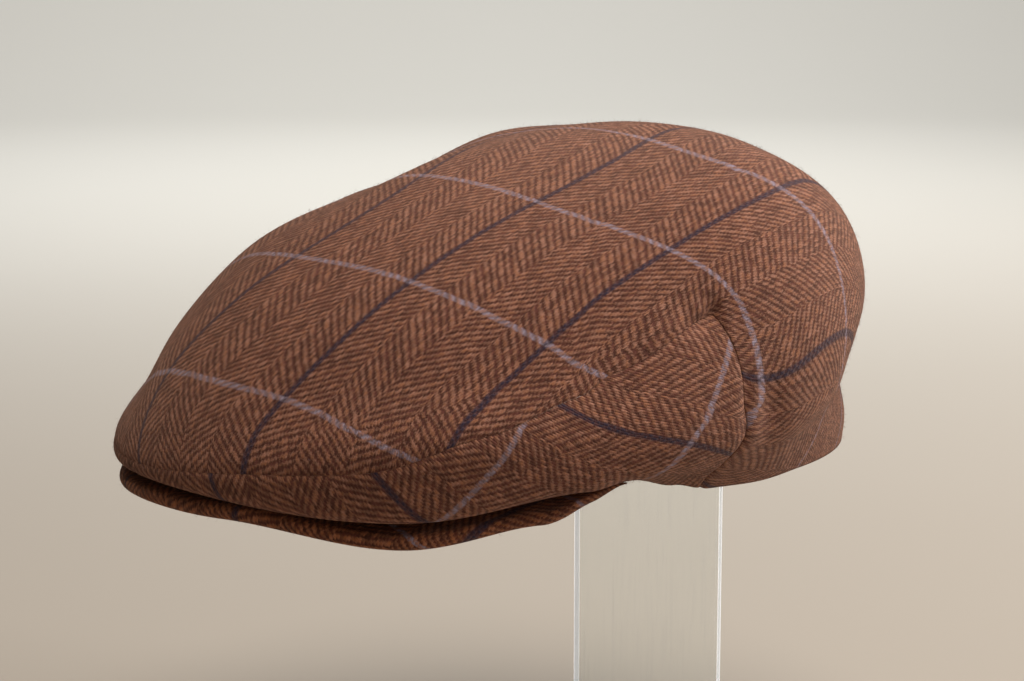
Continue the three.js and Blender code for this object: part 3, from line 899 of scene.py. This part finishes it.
class Graph:
    """A node tree under construction."""

    def __init__(self, tree: bpy.types.NodeTree) -> None:
        """Starts on a tree."""
        self.tree = tree

    def node(self, kind: str, **settings: object) -> bpy.types.Node:
        """Adds a node and sets its own properties."""
        made = self.tree.nodes.new(kind)
        for name, value in settings.items():
            setattr(made, name, value)
        return made

    def put(self, socket: bpy.types.NodeSocket, value: object) -> None:
        """Links a socket to an input, or sets the input's own value."""
        if isinstance(value, bpy.types.NodeSocket):
            self.tree.links.new(value, socket)
        else:
            socket.default_value = value

    def math(self, operation: str, *values: Value) -> bpy.types.NodeSocket:
        """A Math node's result."""
        made = self.node("ShaderNodeMath", operation=operation)
        for socket, value in zip(made.inputs, values):
            self.put(socket, value)
        return made.outputs[0]

    def between(self, value: Value, span: Span) -> bpy.types.NodeSocket:
        """A value from the span's start, where the given one is 0, to its end, where that is 1."""
        return self.math("MULTIPLY_ADD", value, span[1] - span[0], span[0])

    def ramp(self, value: Value, low: float, high: float) -> bpy.types.NodeSocket:
        """A smooth step from 0 at the low value to 1 at the high one."""
        made = self.node("ShaderNodeMapRange", interpolation_type="SMOOTHSTEP")
        for socket, setting in zip(made.inputs, (value, low, high)):
            self.put(socket, setting)
        return made.outputs["Result"]

    def blend(self, share: Value, low: object, high: object, how: str = "MIX") -> bpy.types.NodeSocket:
        """A colour between two colours."""
        made = self.node("ShaderNodeMix", data_type="RGBA", blend_type=how)
        colours = [socket for socket in made.inputs if socket.type == "RGBA"]
        self.put(made.inputs[0], share)
        self.put(colours[0], low)
        self.put(colours[1], high)
        return next(socket for socket in made.outputs if socket.type == "RGBA")

    def noise(self, vector: Value, scale: float, detail: float = 2) -> bpy.types.NodeSocket:
        """A noise value about 0.5, of so many waves to the metre."""
        made = self.node("ShaderNodeTexNoise")
        self.put(made.inputs["Vector"], vector)
        made.inputs["Scale"].default_value = scale
        made.inputs["Detail"].default_value = detail
        return made.outputs[0]


    def finish(self, settings: dict[str, object]) -> None:
        """Links or sets the shader's inputs by name."""
        shader = self.tree.nodes["Principled BSDF"]
        for name, value in settings.items():
            self.put(shader.inputs[name], value)


def new_material(name: str) -> tuple[bpy.types.Material, Graph]:
    """A new material with a shader, and the graph of its nodes."""
    made = bpy.data.materials.new(name)
    made.use_nodes = True
    return made, Graph(made.node_tree)


@dataclass(frozen=True)
class Weave:
    """A herringbone twill: columns along the cloth, each of slanting ribs built from stepped yarn floats."""

    column: float = 0.0503 / 4
    yarn: float = 0.00076
    floats: int = 4
    navy_width: float = 0.0020
    pale_width: float = 0.0020
    line_core: float = 0.28
    line_edge: float = 0.68
    wobble: float = 0.0004
    wobble_scale: float = 150
    tremor: float = 0.0003
    tremor_scale: float = 620
    fray: float = 0.0007
    fuzz_scale: float = 1300
    fuzz: float = 1.1
    float_spread: float = 0.5
    light_ramp: Span = (0.08, 0.96)
    yarn_relief: float = 0.3
    navy_cover: Span = (0.5, 0.95)
    pale_cover: Span = (0.68, 0.18)
    pale_lift: Span = (0.5, 1.4)

    def chance(self, graph: Graph, first: Value, second: Value) -> bpy.types.NodeSocket:
        """A random value from 0 to 1 for each pair of whole numbers."""
        pair = graph.node("ShaderNodeCombineXYZ")
        graph.put(pair.inputs["X"], first)
        graph.put(pair.inputs["Y"], second)
        made = graph.node("ShaderNodeTexWhiteNoise", noise_dimensions="2D")
        graph.put(made.inputs["Vector"], pair.outputs[0])
        return made.outputs["Value"]

    def line(
        self, graph: Graph, way: Value, fuzz: Value, spacing: float, width: float
    ) -> bpy.types.NodeSocket:
        """A mask of lines at a spacing, with frayed edges."""
        off = graph.math("ABSOLUTE", graph.math("WRAP", way, spacing / 2, -spacing / 2))
        off = graph.math("MULTIPLY_ADD", fuzz, self.fray, graph.math("ADD", off, -self.fray / 2))
        return graph.math("SUBTRACT", 1.0, graph.ramp(off, width * self.line_core, width * self.line_edge))

    def group(self, lines: WindowLines) -> bpy.types.NodeTree:
        """Builds the weave's node group.

        The rib's phase is the way along the cloth less the way across the column, there and back, in steps
        of a yarn, so ribs slant one way in a column and the other way in the next, with a break between.
        Every float of yarn has a brightness of its own.

        Args:
            lines: The window lines.

        Returns:
            A group from a cloth coordinate to the masks of light yarn, navy and pale line, to the floats'
            brightness and to a relief.
        """
        tree = bpy.data.node_groups.new("herringbone weave", "ShaderNodeTree")
        tree.interface.new_socket("Cloth", in_out="INPUT", socket_type="NodeSocketVector")
        for name in ("Light", "Navy", "Pale", "Lift", "Relief"):
            tree.interface.new_socket(name, in_out="OUTPUT", socket_type="NodeSocketFloat")
        graph = Graph(tree)
        cloth = graph.node("NodeGroupInput").outputs["Cloth"]
        parts = graph.node("ShaderNodeSeparateXYZ")
        graph.put(parts.inputs[0], cloth)
        sway = graph.noise(cloth, self.wobble_scale)
        sway = graph.math("MULTIPLY_ADD", sway, self.wobble, -self.wobble / 2 - CLOTH_MIDDLE)
        across = graph.math("ADD", parts.outputs["X"], sway)
        tremor = graph.noise(cloth, self.tremor_scale)
        tremor = graph.math("MULTIPLY_ADD", tremor, self.tremor, -self.tremor / 2)
        along = graph.math("ADD", graph.math("ADD", parts.outputs["Y"], sway), tremor)
        yarns = graph.math("DIVIDE", graph.math("PINGPONG", across, self.column), self.yarn)
        stepped = graph.math("MULTIPLY", graph.math("FLOOR", yarns), self.yarn)
        column = graph.math("FLOOR", graph.math("DIVIDE", across, self.column))
        turned = graph.math("FLOORED_MODULO", column, 2.0)
        slant = graph.math("DIVIDE", graph.math("SUBTRACT", along, stepped), self.yarn * self.floats)
        phase = graph.math("MULTIPLY_ADD", turned, 0.5, slant)
        crest = graph.math("ABSOLUTE", graph.math("MULTIPLY_ADD", graph.math("FRACT", phase), 2.0, -1.0))
        warp = graph.math("FLOOR", graph.math("DIVIDE", across, self.yarn))
        over = self.chance(graph, warp, graph.math("FLOOR", graph.math("ADD", phase, 0.5)))
        under = self.chance(graph, graph.math("FLOOR", phase), warp)
        fuzz = graph.noise(cloth, self.fuzz_scale, 3)
        frayed = graph.math("MULTIPLY_ADD", fuzz, self.fuzz, graph.math("ADD", crest, -self.fuzz / 2))
        frayed = graph.math("ADD", frayed, -self.float_spread / 2)
        frayed = graph.math("MULTIPLY_ADD", over, self.float_spread, frayed)
        light = graph.ramp(frayed, *self.light_ramp)
        lift = graph.math("ADD", under, graph.math("MULTIPLY", light, graph.math("SUBTRACT", over, under)))
        side = graph.math("MULTIPLY_ADD", graph.math("FRACT", yarns), 2.0, -1.0)
        rounded = graph.math("SUBTRACT", 1.0, graph.math("MULTIPLY", side, side))
        ribs = graph.math("MULTIPLY", light, 1 - self.yarn_relief)
        relief = graph.math("MULTIPLY_ADD", rounded, self.yarn_relief, ribs)
        navy = self.line(graph, across, fuzz, lines.navy_spacing, self.navy_width)
        pale = self.line(graph, along, fuzz, lines.pale_spacing, self.pale_width)
        navy = graph.math("MULTIPLY", navy, graph.between(light, self.navy_cover))
        pale = graph.math("MULTIPLY", pale, graph.between(light, self.pale_cover))
        pale = graph.math("MULTIPLY", pale, graph.between(lift, self.pale_lift))
        result = graph.node("NodeGroupOutput")
        for socket, value in zip(result.inputs, (light, navy, pale, lift, relief)):
            graph.put(socket, value)
        return tree


@dataclass(frozen=True)
class Tweed:
    """Brown herringbone wool: tan and rust yarn over dark brown, with navy and pale blue window lines."""

    name: str
    tan: Colour = (0.284, 0.136, 0.094, 1)
    rust: Colour = (0.243, 0.100, 0.053, 1)
    brown: Colour = (0.081, 0.0240, 0.0145, 1)
    umber: Colour = (0.112, 0.0360, 0.0275, 1)
    navy: Colour = (0.013, 0.013, 0.038, 1)
    pale: Colour = (0.33, 0.28, 0.36, 1)
    specular: float = 0.15
    roughness: Span = (0.78, 0.98)
    sheen: float = 0.2
    sheen_roughness: float = 0.6
    sheen_tint: Colour = (0.85, 0.62, 0.50, 1)
    relief: float = 0.0006
    fibre_relief: float = 0.55
    bump: float = 0.7
    heather_scale: float = 600
    heather_ramp: Span = (0.35, 0.65)
    fibre_scale: float = 2400
    fibre_shade: Span = (0.6, 1.4)
    drift_scale: float = 26
    drift_shade: Span = (0.85, 1.15)
    float_shade: Span = (0.7, 1.3)

    def material(self, weave: bpy.types.NodeTree) -> bpy.types.Material:
        """Builds the finish.

        Args:
            weave: The herringbone group.

        Returns:
            The material, which reads the piece's cloth map.
        """
        made, graph = new_material(self.name)
        cloth = graph.node("ShaderNodeUVMap", uv_map=CLOTH_MAP).outputs["UV"]
        woven = graph.node("ShaderNodeGroup", node_tree=weave)
        graph.put(woven.inputs["Cloth"], cloth)
        place = graph.node("ShaderNodeTexCoord").outputs["Object"]
        heather = graph.ramp(graph.noise(place, self.heather_scale, 3), *self.heather_ramp)
        light = graph.blend(heather, self.rust, self.tan)
        dark = graph.blend(heather, self.umber, self.brown)
        colour = graph.blend(woven.outputs["Light"], dark, light)
        fibres = graph.noise(place, self.fibre_scale, 3)
        drift = graph.noise(place, self.drift_scale)
        shade = graph.between(woven.outputs["Lift"], self.float_shade)
        shade = graph.math("MULTIPLY", shade, graph.between(drift, self.drift_shade))
        shade = graph.math("MULTIPLY", shade, graph.between(fibres, self.fibre_shade))
        colour = graph.blend(1.0, colour, shade, "MULTIPLY")
        colour = graph.blend(woven.outputs["Navy"], colour, self.navy)
        bump = graph.node("ShaderNodeBump")
        graph.put(bump.inputs["Strength"], self.bump)
        graph.put(bump.inputs["Distance"], self.relief)
        height = graph.math("MULTIPLY_ADD", fibres, self.fibre_relief, woven.outputs["Relief"])
        graph.put(bump.inputs["Height"], height)
        graph.finish({
            "Base Color": graph.blend(woven.outputs["Pale"], colour, self.pale),
            "Roughness": graph.between(fibres, self.roughness),
            "Normal": bump.outputs["Normal"],
            "Specular IOR Level": self.specular,
            "Sheen Weight": self.sheen,
            "Sheen Roughness": self.sheen_roughness,
            "Sheen Tint": self.sheen_tint,
        })
        return made


# The peak's copy of the tweed is darker and more orange than the crown's: painted warm shade under the crown's
# front, on the same cloth.
SHADED_PEAK_TWEED = Tweed(
    "peak_tweed",
    tan=(0.284, 0.112, 0.060, 1),
    rust=(0.250, 0.086, 0.033, 1),
    brown=(0.076, 0.0190, 0.0090, 1),
    umber=(0.104, 0.0290, 0.0170, 1),
)


@dataclass(frozen=True)
class ClearAcrylic:
    """Polished clear sheet with a faint haze of rubbed marks, satin and white on its upright's saw-cut edges,
    which glow with painted light.
    """

    name: str = "clear_acrylic"
    tint: Colour = (0.95, 0.98, 0.98, 1)
    hazed: Colour = (0.86, 0.90, 0.91, 1)
    sawn_and_glowing: Colour = (1, 1, 1, 1)
    upright_front: float = 0.035
    upright_back: float = 0.097
    edge: float = 0.0003
    # Strength of the painted glow on the upright's saw-cut edges.
    painted_edge_glow: float = 0.3
    rub_scale: float = 900
    rub_stretch: tuple[float, float, float] = (1, 1, 0.05)
    rub_ramp: Span = (0.5, 0.8)
    roughness: Span = (0.03, 0.15)
    sawn_roughness: float = 0.75
    bending: float = 1.49

    def material(self) -> bpy.types.Material:
        """Builds the finish: stretched noise for the marks, and the stand's own X for the saw-cut edges, which
        are white and satin and glow with painted light.
        """
        made, graph = new_material(self.name)
        place = graph.node("ShaderNodeTexCoord").outputs["Object"]
        stretched = graph.node("ShaderNodeMapping")
        graph.put(stretched.inputs["Vector"], place)
        graph.put(stretched.inputs["Scale"], self.rub_stretch)
        rubbed = graph.ramp(graph.noise(stretched.outputs["Vector"], self.rub_scale, 3), *self.rub_ramp)
        parts = graph.node("ShaderNodeSeparateXYZ")
        graph.put(parts.inputs[0], place)
        edges = (self.upright_front, self.upright_back)
        ends = [graph.math("COMPARE", parts.outputs["X"], where, self.edge) for where in edges]
        sawn_and_glowing = graph.math("MAXIMUM", *ends)
        rough = graph.between(rubbed, self.roughness)
        graph.finish({
            "Base Color": graph.blend(sawn_and_glowing, graph.blend(rubbed, self.tint, self.hazed), self.sawn_and_glowing),
            "Roughness": graph.math("MULTIPLY_ADD", sawn_and_glowing, self.sawn_roughness, rough),
            # The saw-cut edges glow white: painted light, as if carried through the sheet.
            "Emission Color": graph.blend(sawn_and_glowing, (0, 0, 0, 1), self.sawn_and_glowing),
            "Emission Strength": self.painted_edge_glow,
            "IOR": self.bending,
            "Transmission Weight": 1.0,
        })
        return made


@dataclass(frozen=True)
class PaleFloor:
    """A plain pale studio floor with a barely mottled paint."""

    name: str = "studio_floor"
    paint: Colour = (0.43, 0.385, 0.335, 1)
    mottle: Colour = (0.41, 0.365, 0.315, 1)
    mottle_scale: float = 1.5
    roughness: float = 0.9
    specular: float = 0.1

    def material(self) -> bpy.types.Material:
        """Builds the finish."""
        made, graph = new_material(self.name)
        place = graph.node("ShaderNodeTexCoord").outputs["Object"]
        mottled = graph.blend(graph.noise(place, self.mottle_scale, 3), self.paint, self.mottle)
        graph.finish({"Base Color": mottled, "Roughness": self.roughness, "Specular IOR Level": self.specular})
        return made


@dataclass
class CrownCloth:
    """The crown's three panels of cloth, sewn together along tucked seams."""

    form: CrownForm
    lines: WindowLines
    shift: Array
    wall: float = 0.002
    seam_gap: float = 0.02
    tuck_depth: float = 0.0006
    tuck_reach: float = 0.0013
    front_columns: int = 200
    back_columns: int = 140
    disc_rings: int = 84
    skirt_rows: int = 56
    side_columns: int = 150
    side_rows: int = 70
    coarseness: int = 5
    side_marks: int = 500
    back_marks: int = 160
    front_marks: int = 100

    def seam_line(self) -> Array:
        """Points along every seam: the side seams, the back seams and the one at the centre front."""
        across = np.linspace(-APEX.angle, APEX.angle, self.side_marks)
        down = np.linspace(APEX.run, self.form.rim_run, self.back_marks)
        front = np.linspace(SIDE_SEAM[0].run, self.form.rim_run, self.front_marks)
        return np.concatenate([
            self.form.point(across, self.form.seam_run(across)),
            self.form.point(np.full_like(down, APEX.angle), down),
            self.form.point(np.full_like(down, -APEX.angle), down),
            self.form.point(np.zeros_like(front), front),
        ])

    def tucked(self, sheet: Sheet, side: int = 1) -> Array:
        """The outer points of a sheet, sinking towards the seams by an exponential of the distance.

        Args:
            sheet: The sheet.
            side: 1 for the sheet's own place, or -1 for the same place on the crown's other side.

        Returns:
            The points. Those of the other side are turned over, so that they lie on the sheet's own side.
        """
        angle, run = sheet.places()
        points = self.form.point(side * angle, run)
        normal = self.form.axes(side * angle, run)[2]
        sunk = self.tuck_depth * np.exp(-distance_to(points, self.seam_line()) / self.tuck_reach)
        return (points - normal * sunk[:, None]) * (1, side, 1)

    def cloth(
        self, fine: Sheet, coarse: Sheet, start: Array, navy: Sequence[SeenLine], pale: Sequence[SeenLine]
    ) -> tuple[Array, Array, float]:
        """A panel's cloth coordinates: a coarse sheet laid flat, carried to the fine one and fitted there.

        Args:
            fine: The panel's sheet.
            coarse: The same panel with fewer rows and columns.
            start: A first flat place for each coarse vertex.
            navy: The navy lines on it.
            pale: The pale lines on it.

        Returns:
            Two coordinates for each fine vertex, the flat cut's width and length, and its area.
        """
        cut = FlatCut(self.form.point(*coarse.places()), coarse.triangles)
        rough_flat = cut.solve(start)
        grids = []
        for patch, rough in zip(fine.patches, coarse.patches):
            rows, columns = carried(patch.down, rough.down), carried(patch.across, rough.across)
            grids.append(np.einsum("ri,cj,ijk->rck", rows, columns, rough_flat[rough.number]))
        flat = fine.gathered(grids)
        points = self.form.point(*fine.places())
        normal = vertex_normals(points, fine.triangles)
        return self.lines.fitted(points, normal, flat, navy, pale), np.ptp(rough_flat, axis=0), cut.area

    def top(self) -> tuple[ClothMesh, Array, float]:
        """The top panel's mesh, its flat cut's width and length, and its area."""
        counts = (self.front_columns, self.back_columns, self.disc_rings, self.skirt_rows)
        sheet = top_sheet(self.form, *counts)
        coarse = top_sheet(self.form, *(count // self.coarseness for count in counts))
        angle, _ = coarse.places()
        disc, skirt = (self.form.point(patch.angle, patch.run) for patch in coarse.patches)
        disc_way = travelled(disc, 0)
        skirt_way = travelled(skirt, 0) + disc_way[-1, -skirt.shape[1] :]
        way, turn = coarse.gathered([disc_way, skirt_way]), np.radians(angle)
        start = np.stack([-way * np.sin(turn), -way * np.cos(turn)], axis=1)
        cloth, size, area = self.cloth(sheet, coarse, start, TOP_NAVY, TOP_PALE)
        return cloth_wall(self.tucked(sheet), sheet, cloth, self.wall), size, area

    def sides(self) -> tuple[ClothMesh, ClothMesh, Array, float]:
        """The left and right side panels' meshes, their flat cut's width and length, and its area."""
        sheet = side_sheet(self.form, self.side_columns, self.side_rows, self.seam_gap)
        fewer = (self.side_columns // self.coarseness, self.side_rows // self.coarseness)
        coarse = side_sheet(self.form, *fewer, self.seam_gap)
        grid = self.form.point(coarse.patches[0].angle, coarse.patches[0].run)
        down, across = travelled(grid, 0), travelled(grid[:1], 1)
        start = coarse.gathered([np.stack([np.broadcast_to(across, down.shape), down], axis=-1)])
        cloth, size, area = self.cloth(sheet, coarse, start, SIDE_NAVY, SIDE_PALE)
        left, right = (cloth_wall(self.tucked(sheet, side), sheet, cloth, self.wall) for side in (1, -1))
        return left, right.mirrored(), size, area

    def build(self, material: bpy.types.Material) -> None:
        shape, size, area = self.top()
        self.add("crown_top_cloth", "top_panel", shape, size, area, "stand", material)
        left, right, size, area = self.sides()
        self.add("left_side_cloth", "side_panel_left", left, size, area, "peak_cloth", material)
        self.add("right_side_cloth", "side_panel_right", right, size, area, "peak_cloth", material)

    def add(
        self,
        name: str,
        node: str,
        shape: ClothMesh,
        size: Array,
        area: float,
        rests_on: str,
        material: bpy.types.Material,
    ) -> None:
        """Puts one panel into the scene in place of its solid.

        Args:
            name: The piece's name.
            node: The solid that it stands for.
            shape: Its mesh.
            size: Its flat cut's width and length.
            area: Its flat cut's area; not used.
            rests_on: What holds it; not used.
            material: Its finish.
        """
        piece = new_object(name, shape, self.shift, material)
        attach(piece, BODY)
        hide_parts(node)
        LOG.info("%s: %d triangles, flat cut %.0f by %.0f mm", name, len(shape.triangles), *(1000 * size))


@dataclass
class Peak:
    """The stiff peak under the crown's front, covered with the same tweed."""

    form: CrownForm
    shift: Array
    root_thick: float = 0.003
    root_gap: float = 0.0009
    least_width: float = 0.001
    taper_angle: float = 9
    taper_least: float = 0.12
    under_steps: int = 4
    columns: int = 220
    flat_steps: int = 26
    lip_steps: int = 14
    grain_turn: float = 9
    navy_offset: float = -0.017
    pale_offset: float = 0.0134

    def shape(self) -> ClothMesh:
        """The peak's mesh: a section from the root on top, round a half-round lip and back underneath.

        Returns:
            The closed mesh. Its cloth coordinates go out from the root along each section on top and round
            the lip, and back from a seam behind it. The ends taper to a thin edge.
        """
        end = PEAK_SECTIONS[-1].angle
        angle = np.linspace(-end, end, self.columns + 1)
        row = eased(PEAK_SECTIONS, angle)
        full = np.sin(np.pi / 2 * np.clip((end - np.abs(angle)) / self.taper_angle, 0, 1))
        share = self.taper_least + (1 - self.taper_least) * full
        thick, root_thick = row["thick"] * share, self.root_thick * share
        root = self.form.rim_radius(angle)
        root_top = eased(TURN_SECTIONS, angle)["rim_z"] - self.root_gap
        top_z = root_top + full * (row["low_z"] + row["thick"] - root_top)
        low_z = top_z - thick
        lip = thick / 2
        room = self.form.edge_radius(angle) - row["edge_in"] - lip - root
        width = np.maximum(room * full, self.least_width)
        out = steps(self.flat_steps, Crowding.NOWHERE)[:, None]
        turn = np.radians(np.linspace(90, -90, self.lip_steps + 1)[1:-1])[:, None]
        radius = np.concatenate([
            root + out * width,
            root + width + lip * np.cos(turn),
            root + out[::-1] * width,
        ])
        height = np.concatenate([
            root_top + out * (top_z - root_top),
            low_z + lip + lip * np.sin(turn),
            root_top - root_thick + out[::-1] * (low_z - root_top + root_thick),
        ])
        way = np.radians(angle)
        points = np.stack([self.form.top_x - radius * np.cos(way), radius * np.sin(way), height], axis=-1)
        travel = travelled(points, 0)
        seam = travel[self.flat_steps + self.lip_steps + self.under_steps]
        reach = root + np.minimum(travel, 2 * seam - travel)
        x, y = self.form.top_x - reach * np.cos(way), reach * np.sin(way)
        grain = math.radians(self.grain_turn)
        across = x * math.sin(grain) - y * math.cos(grain) + self.navy_offset
        along = x * math.cos(grain) + y * math.sin(grain) + self.pale_offset
        size, columns = points.shape[:2]
        number = np.arange(size * columns).reshape(size, columns)
        around = np.vstack([number, number[:1]])
        high = np.arange(size // 2)
        rungs = np.stack([high, size - 1 - high])
        caps = [grid_triangles(number[:, column][rungs]) for column in (0, -1)]
        triangles = np.concatenate([grid_triangles(around), caps[0], caps[1][:, ::-1]])
        cloth = np.stack([across, along], axis=-1).reshape(-1, 2)
        return ClothMesh(points.reshape(-1, 3), triangles, cloth).outward()

    def build(self, material: bpy.types.Material) -> None:
        """Makes the peak in place of its solid."""
        shape = self.shape()
        piece = new_object("peak_cloth", shape, self.shift, material)
        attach(piece, BODY)
        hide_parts("peak")
        LOG.info("peak_cloth: %d triangles", len(shape.triangles))


@dataclass
class WoolNap:
    """Loose fibres that stand off the wool: thin closed spindles scattered over the crown and the peak."""

    form: CrownForm
    shift: Array
    crown_count: int = 16000
    peak_count: int = 1500
    seed: int = 7
    shortest: float = 0.0007
    longest: float = 0.0028
    rarity: float = 2.5
    half_thick: float = 0.000025
    sunk: float = 0.0003
    least_lean: float = 35
    most_lean: float = 80
    bend: float = 0.25
    margin: float = 0.02
    trials: int = 4
    colour_range: float = 0.2

    def crown_roots(self, chance: np.random.Generator) -> tuple[Array, Array]:
        """Random points of the crown and their normals, as many on each piece of its area.

        Args:
            chance: Where the random numbers come from.

        Returns:
            Points and outward normals.
        """
        angle = chance.uniform(-180, 180, self.trials * self.crown_count)
        run = chance.uniform(self.margin, self.form.rim_run - self.margin, len(angle))
        points = self.form.point(angle, run)
        beside = self.form.point(angle + self.form.angle_step, run) - points
        below = self.form.point(angle, run + self.form.run_step) - points
        area = np.linalg.norm(np.cross(beside, below), axis=1)
        kept = chance.choice(len(angle), self.crown_count, replace=False, p=area / area.sum())
        return points[kept], unit(np.cross(beside, below)[kept])

    def peak_roots(self, chance: np.random.Generator, peak: ClothMesh) -> tuple[Array, Array]:
        """Random points of the peak and their normals."""
        kept = chance.choice(len(peak.points), self.peak_count, replace=False)
        return peak.points[kept], vertex_normals(peak.points, peak.triangles)[kept]

    def shape(self, peak: ClothMesh) -> ClothMesh:
        """The fibres' mesh: each a bent spindle of three sides from a root in the cloth to a point.

        A fibre leans from the normal by a random angle in a random direction, and its middle is moved aside.

        Args:
            peak: The peak's mesh.

        Returns:
            The closed fibres. A fibre has one cloth coordinate, so one of the yarn's colours.
        """
        chance = np.random.default_rng(self.seed)
        roots = [self.crown_roots(chance), self.peak_roots(chance, peak)]
        points, normal = (np.concatenate(part) for part in zip(*roots))
        count = len(points)
        size = (count, 1)
        length = self.shortest * (self.longest / self.shortest) ** (chance.uniform(size=size) ** self.rarity)
        aside = unit(np.cross(normal, unit(chance.normal(size=(count, 3)))))
        across = np.cross(normal, aside)
        lean = np.radians(chance.uniform(self.least_lean, self.most_lean, size))
        way = normal * np.cos(lean) + aside * np.sin(lean)
        middle = points + length * (way / 2 + self.bend * chance.uniform(-1, 1, size) * across)
        turn = np.radians((0, 120, 240))[:, None, None]
        ring = middle + self.half_thick * (np.cos(turn) * across + np.sin(turn) * np.cross(way, across))
        base, tip = points - normal * self.sunk, points + way * length
        vertices = np.concatenate([[base], ring, [tip]]).swapaxes(0, 1)
        faces = np.array([(0, 2, 1), (0, 3, 2), (0, 1, 3), (4, 1, 2), (4, 2, 3), (4, 3, 1)])
        corners = vertices.shape[1]
        triangles = (faces + corners * np.arange(count)[:, None, None]).reshape(-1, 3)
        shade = chance.uniform(-self.colour_range, self.colour_range, (count, 2))
        cloth = np.repeat(shade, corners, axis=0)
        return ClothMesh(vertices.reshape(-1, 3), triangles, cloth).outward()

    def build(self, peak: ClothMesh, material: bpy.types.Material) -> None:
        """Makes the fibres."""
        shape = self.shape(peak)
        piece = new_object("wool_nap", shape, self.shift, material)
        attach(piece, BODY)
        LOG.info("wool_nap: %d triangles", len(shape.triangles))


@dataclass
class Stand:
    """The clear stand, which keeps its solid and gets its finish."""

    def build(self, material: bpy.types.Material) -> None:
        """Gives the stand's solid its finish."""
        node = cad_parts["stand"]
        node.data.materials.clear()
        node.data.materials.append(material)
        LOG.info("stand: finished as %s", material.name)


@dataclass(frozen=True)
class Lamp:
    """A square soft light: where it hangs, what it faces, its side, watts and colour."""

    name: str
    place: tuple[float, float, float]
    size: float
    power: float
    colour: tuple[float, float, float]
    aim: tuple[float, float, float] = (0.014, 0, 0.18)


LAMPS = (
    Lamp("overhead", (0.05, -0.45, 1.85), 1.2, 30, (1, 0.92, 0.83)),
    Lamp("right", (1.35, -0.85, 1.0), 1.1, 24, (1, 0.98, 0.95)),
    Lamp("back right", (1.5, 0.35, 1.05), 1.1, 6, (1, 0.98, 0.95)),
    Lamp("backdrop", (0.85, 1.45, 1.5), 1.2, 60, (0.82, 0.92, 1), (1.4, 2.35, 0.1)),
)


@dataclass
class Studio:
    """A pale floor, soft lights and the photograph's camera."""

    shift: Array
    camera: PhotoCamera = PhotoCamera()
    sensor: float = 36
    clip: Span = (0.01, 100)
    floor_radius: float = 2.4
    sweep: float = 0.5
    sweep_steps: int = 25
    floor_drop: float = 0.0005
    floor_sides: int = 96
    floor_steps: int = 8
    fill_colour: Colour = (1, 0.80, 0.60, 1)
    fill_strength: float = 0.05

    def hang_camera(self) -> None:
        """Places the camera where the photograph was taken from."""
        right, up, back = (Vector(axis) for axis in self.camera.axes())
        place = Vector(self.shift + self.camera.place())
        data = bpy.data.cameras.new("camera")
        data.sensor_width = self.sensor
        data.lens = self.camera.focal_pixels / self.camera.image_width * self.sensor
        data.clip_start, data.clip_end = self.clip
        made = bpy.data.objects.new("camera", data)
        made.matrix_world = Matrix.Translation(place) @ Matrix((right, up, back)).transposed().to_4x4()
        bpy.context.scene.collection.objects.link(made)
        bpy.context.scene.camera = made

    def floor(self) -> None:
        """Lays a pale floor that sweeps up into a low wall all round: rings on a two-parameter grid.

        Each ring has one radius and height of the profile, which is flat, then a quarter circle.
        """
        turn = np.linspace(0, 2 * np.pi, self.floor_sides + 1)[:-1]
        rise = np.linspace(0, np.pi / 2, self.sweep_steps)
        level = steps(self.floor_steps, Crowding.NOWHERE)[1:-1]
        radius = np.concatenate([level, 1 + self.sweep * np.sin(rise)])[:, None]
        height = np.concatenate([0 * level, self.sweep * (1 - np.cos(rise))])[:, None] + 0 * turn
        rings = self.floor_radius * np.stack([radius * np.cos(turn), radius * np.sin(turn), height], axis=-1)
        points = np.concatenate([np.zeros((1, 3)), rings.reshape(-1, 3)])
        number = 1 + np.arange(len(points) - 1).reshape(len(radius), -1)
        number = np.vstack([np.zeros_like(number[:1]), number])
        number = np.hstack([number, number[:, :1]])
        triangles = grid_triangles(number)[:, ::-1]
        shape = ClothMesh(points, triangles, points[:, :2] / self.floor_radius)
        new_object("floor", shape, np.array((0, 0, -self.floor_drop)), PaleFloor().material())

    def light(self, lamp: Lamp) -> None:
        """Hangs a square soft light.

        Args:
            lamp: The light.
        """
        data = bpy.data.lights.new(lamp.name, "AREA")
        data.size, data.energy, data.color = lamp.size, lamp.power, lamp.colour
        made = bpy.data.objects.new(lamp.name, data)
        place = Vector(lamp.place)
        facing = (Vector(lamp.aim) - place).to_track_quat("-Z", "Y").to_matrix().to_4x4()
        made.matrix_world = Matrix.Translation(place) @ facing
        bpy.context.scene.collection.objects.link(made)

    def build(self) -> None:
        """Sets up the camera, the floor, the lights and the pale surroundings."""
        self.hang_camera()
        self.floor()
        for lamp in LAMPS:
            self.light(lamp)
        world = bpy.data.worlds.new("studio")
        world.use_nodes = True
        fill = world.node_tree.nodes["Background"]
        fill.inputs["Color"].default_value = self.fill_colour
        fill.inputs["Strength"].default_value = self.fill_strength
        bpy.context.scene.world = world
        bpy.context.scene.view_settings.view_transform = "Standard"
        LOG.info("studio: camera, floor and lights")


def main() -> None:
    """Builds the studio, then the cap's pieces, and reports each."""
    logging.basicConfig(level=logging.INFO, format="%(name)s: %(message)s")
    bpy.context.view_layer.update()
    form = CrownForm(folds=MAIN_FOLDS + CLOTH_FOLDS)
    shift = np.array(CAP_ORIGIN)
    Studio(shift).build()
    lines = WindowLines()
    weave = Weave().group(lines)
    peak = Peak(form, shift)
    # The peak gets the tweed's copy with painted warm shade.
    peak.build(SHADED_PEAK_TWEED.material(weave))
    tweed = Tweed("crown_tweed").material(weave)
    CrownCloth(form, lines, shift).build(tweed)
    WoolNap(form, shift).build(peak.shape(), tweed)
    Stand().build(ClearAcrylic().material())


if __name__ == "__main__":
    main()
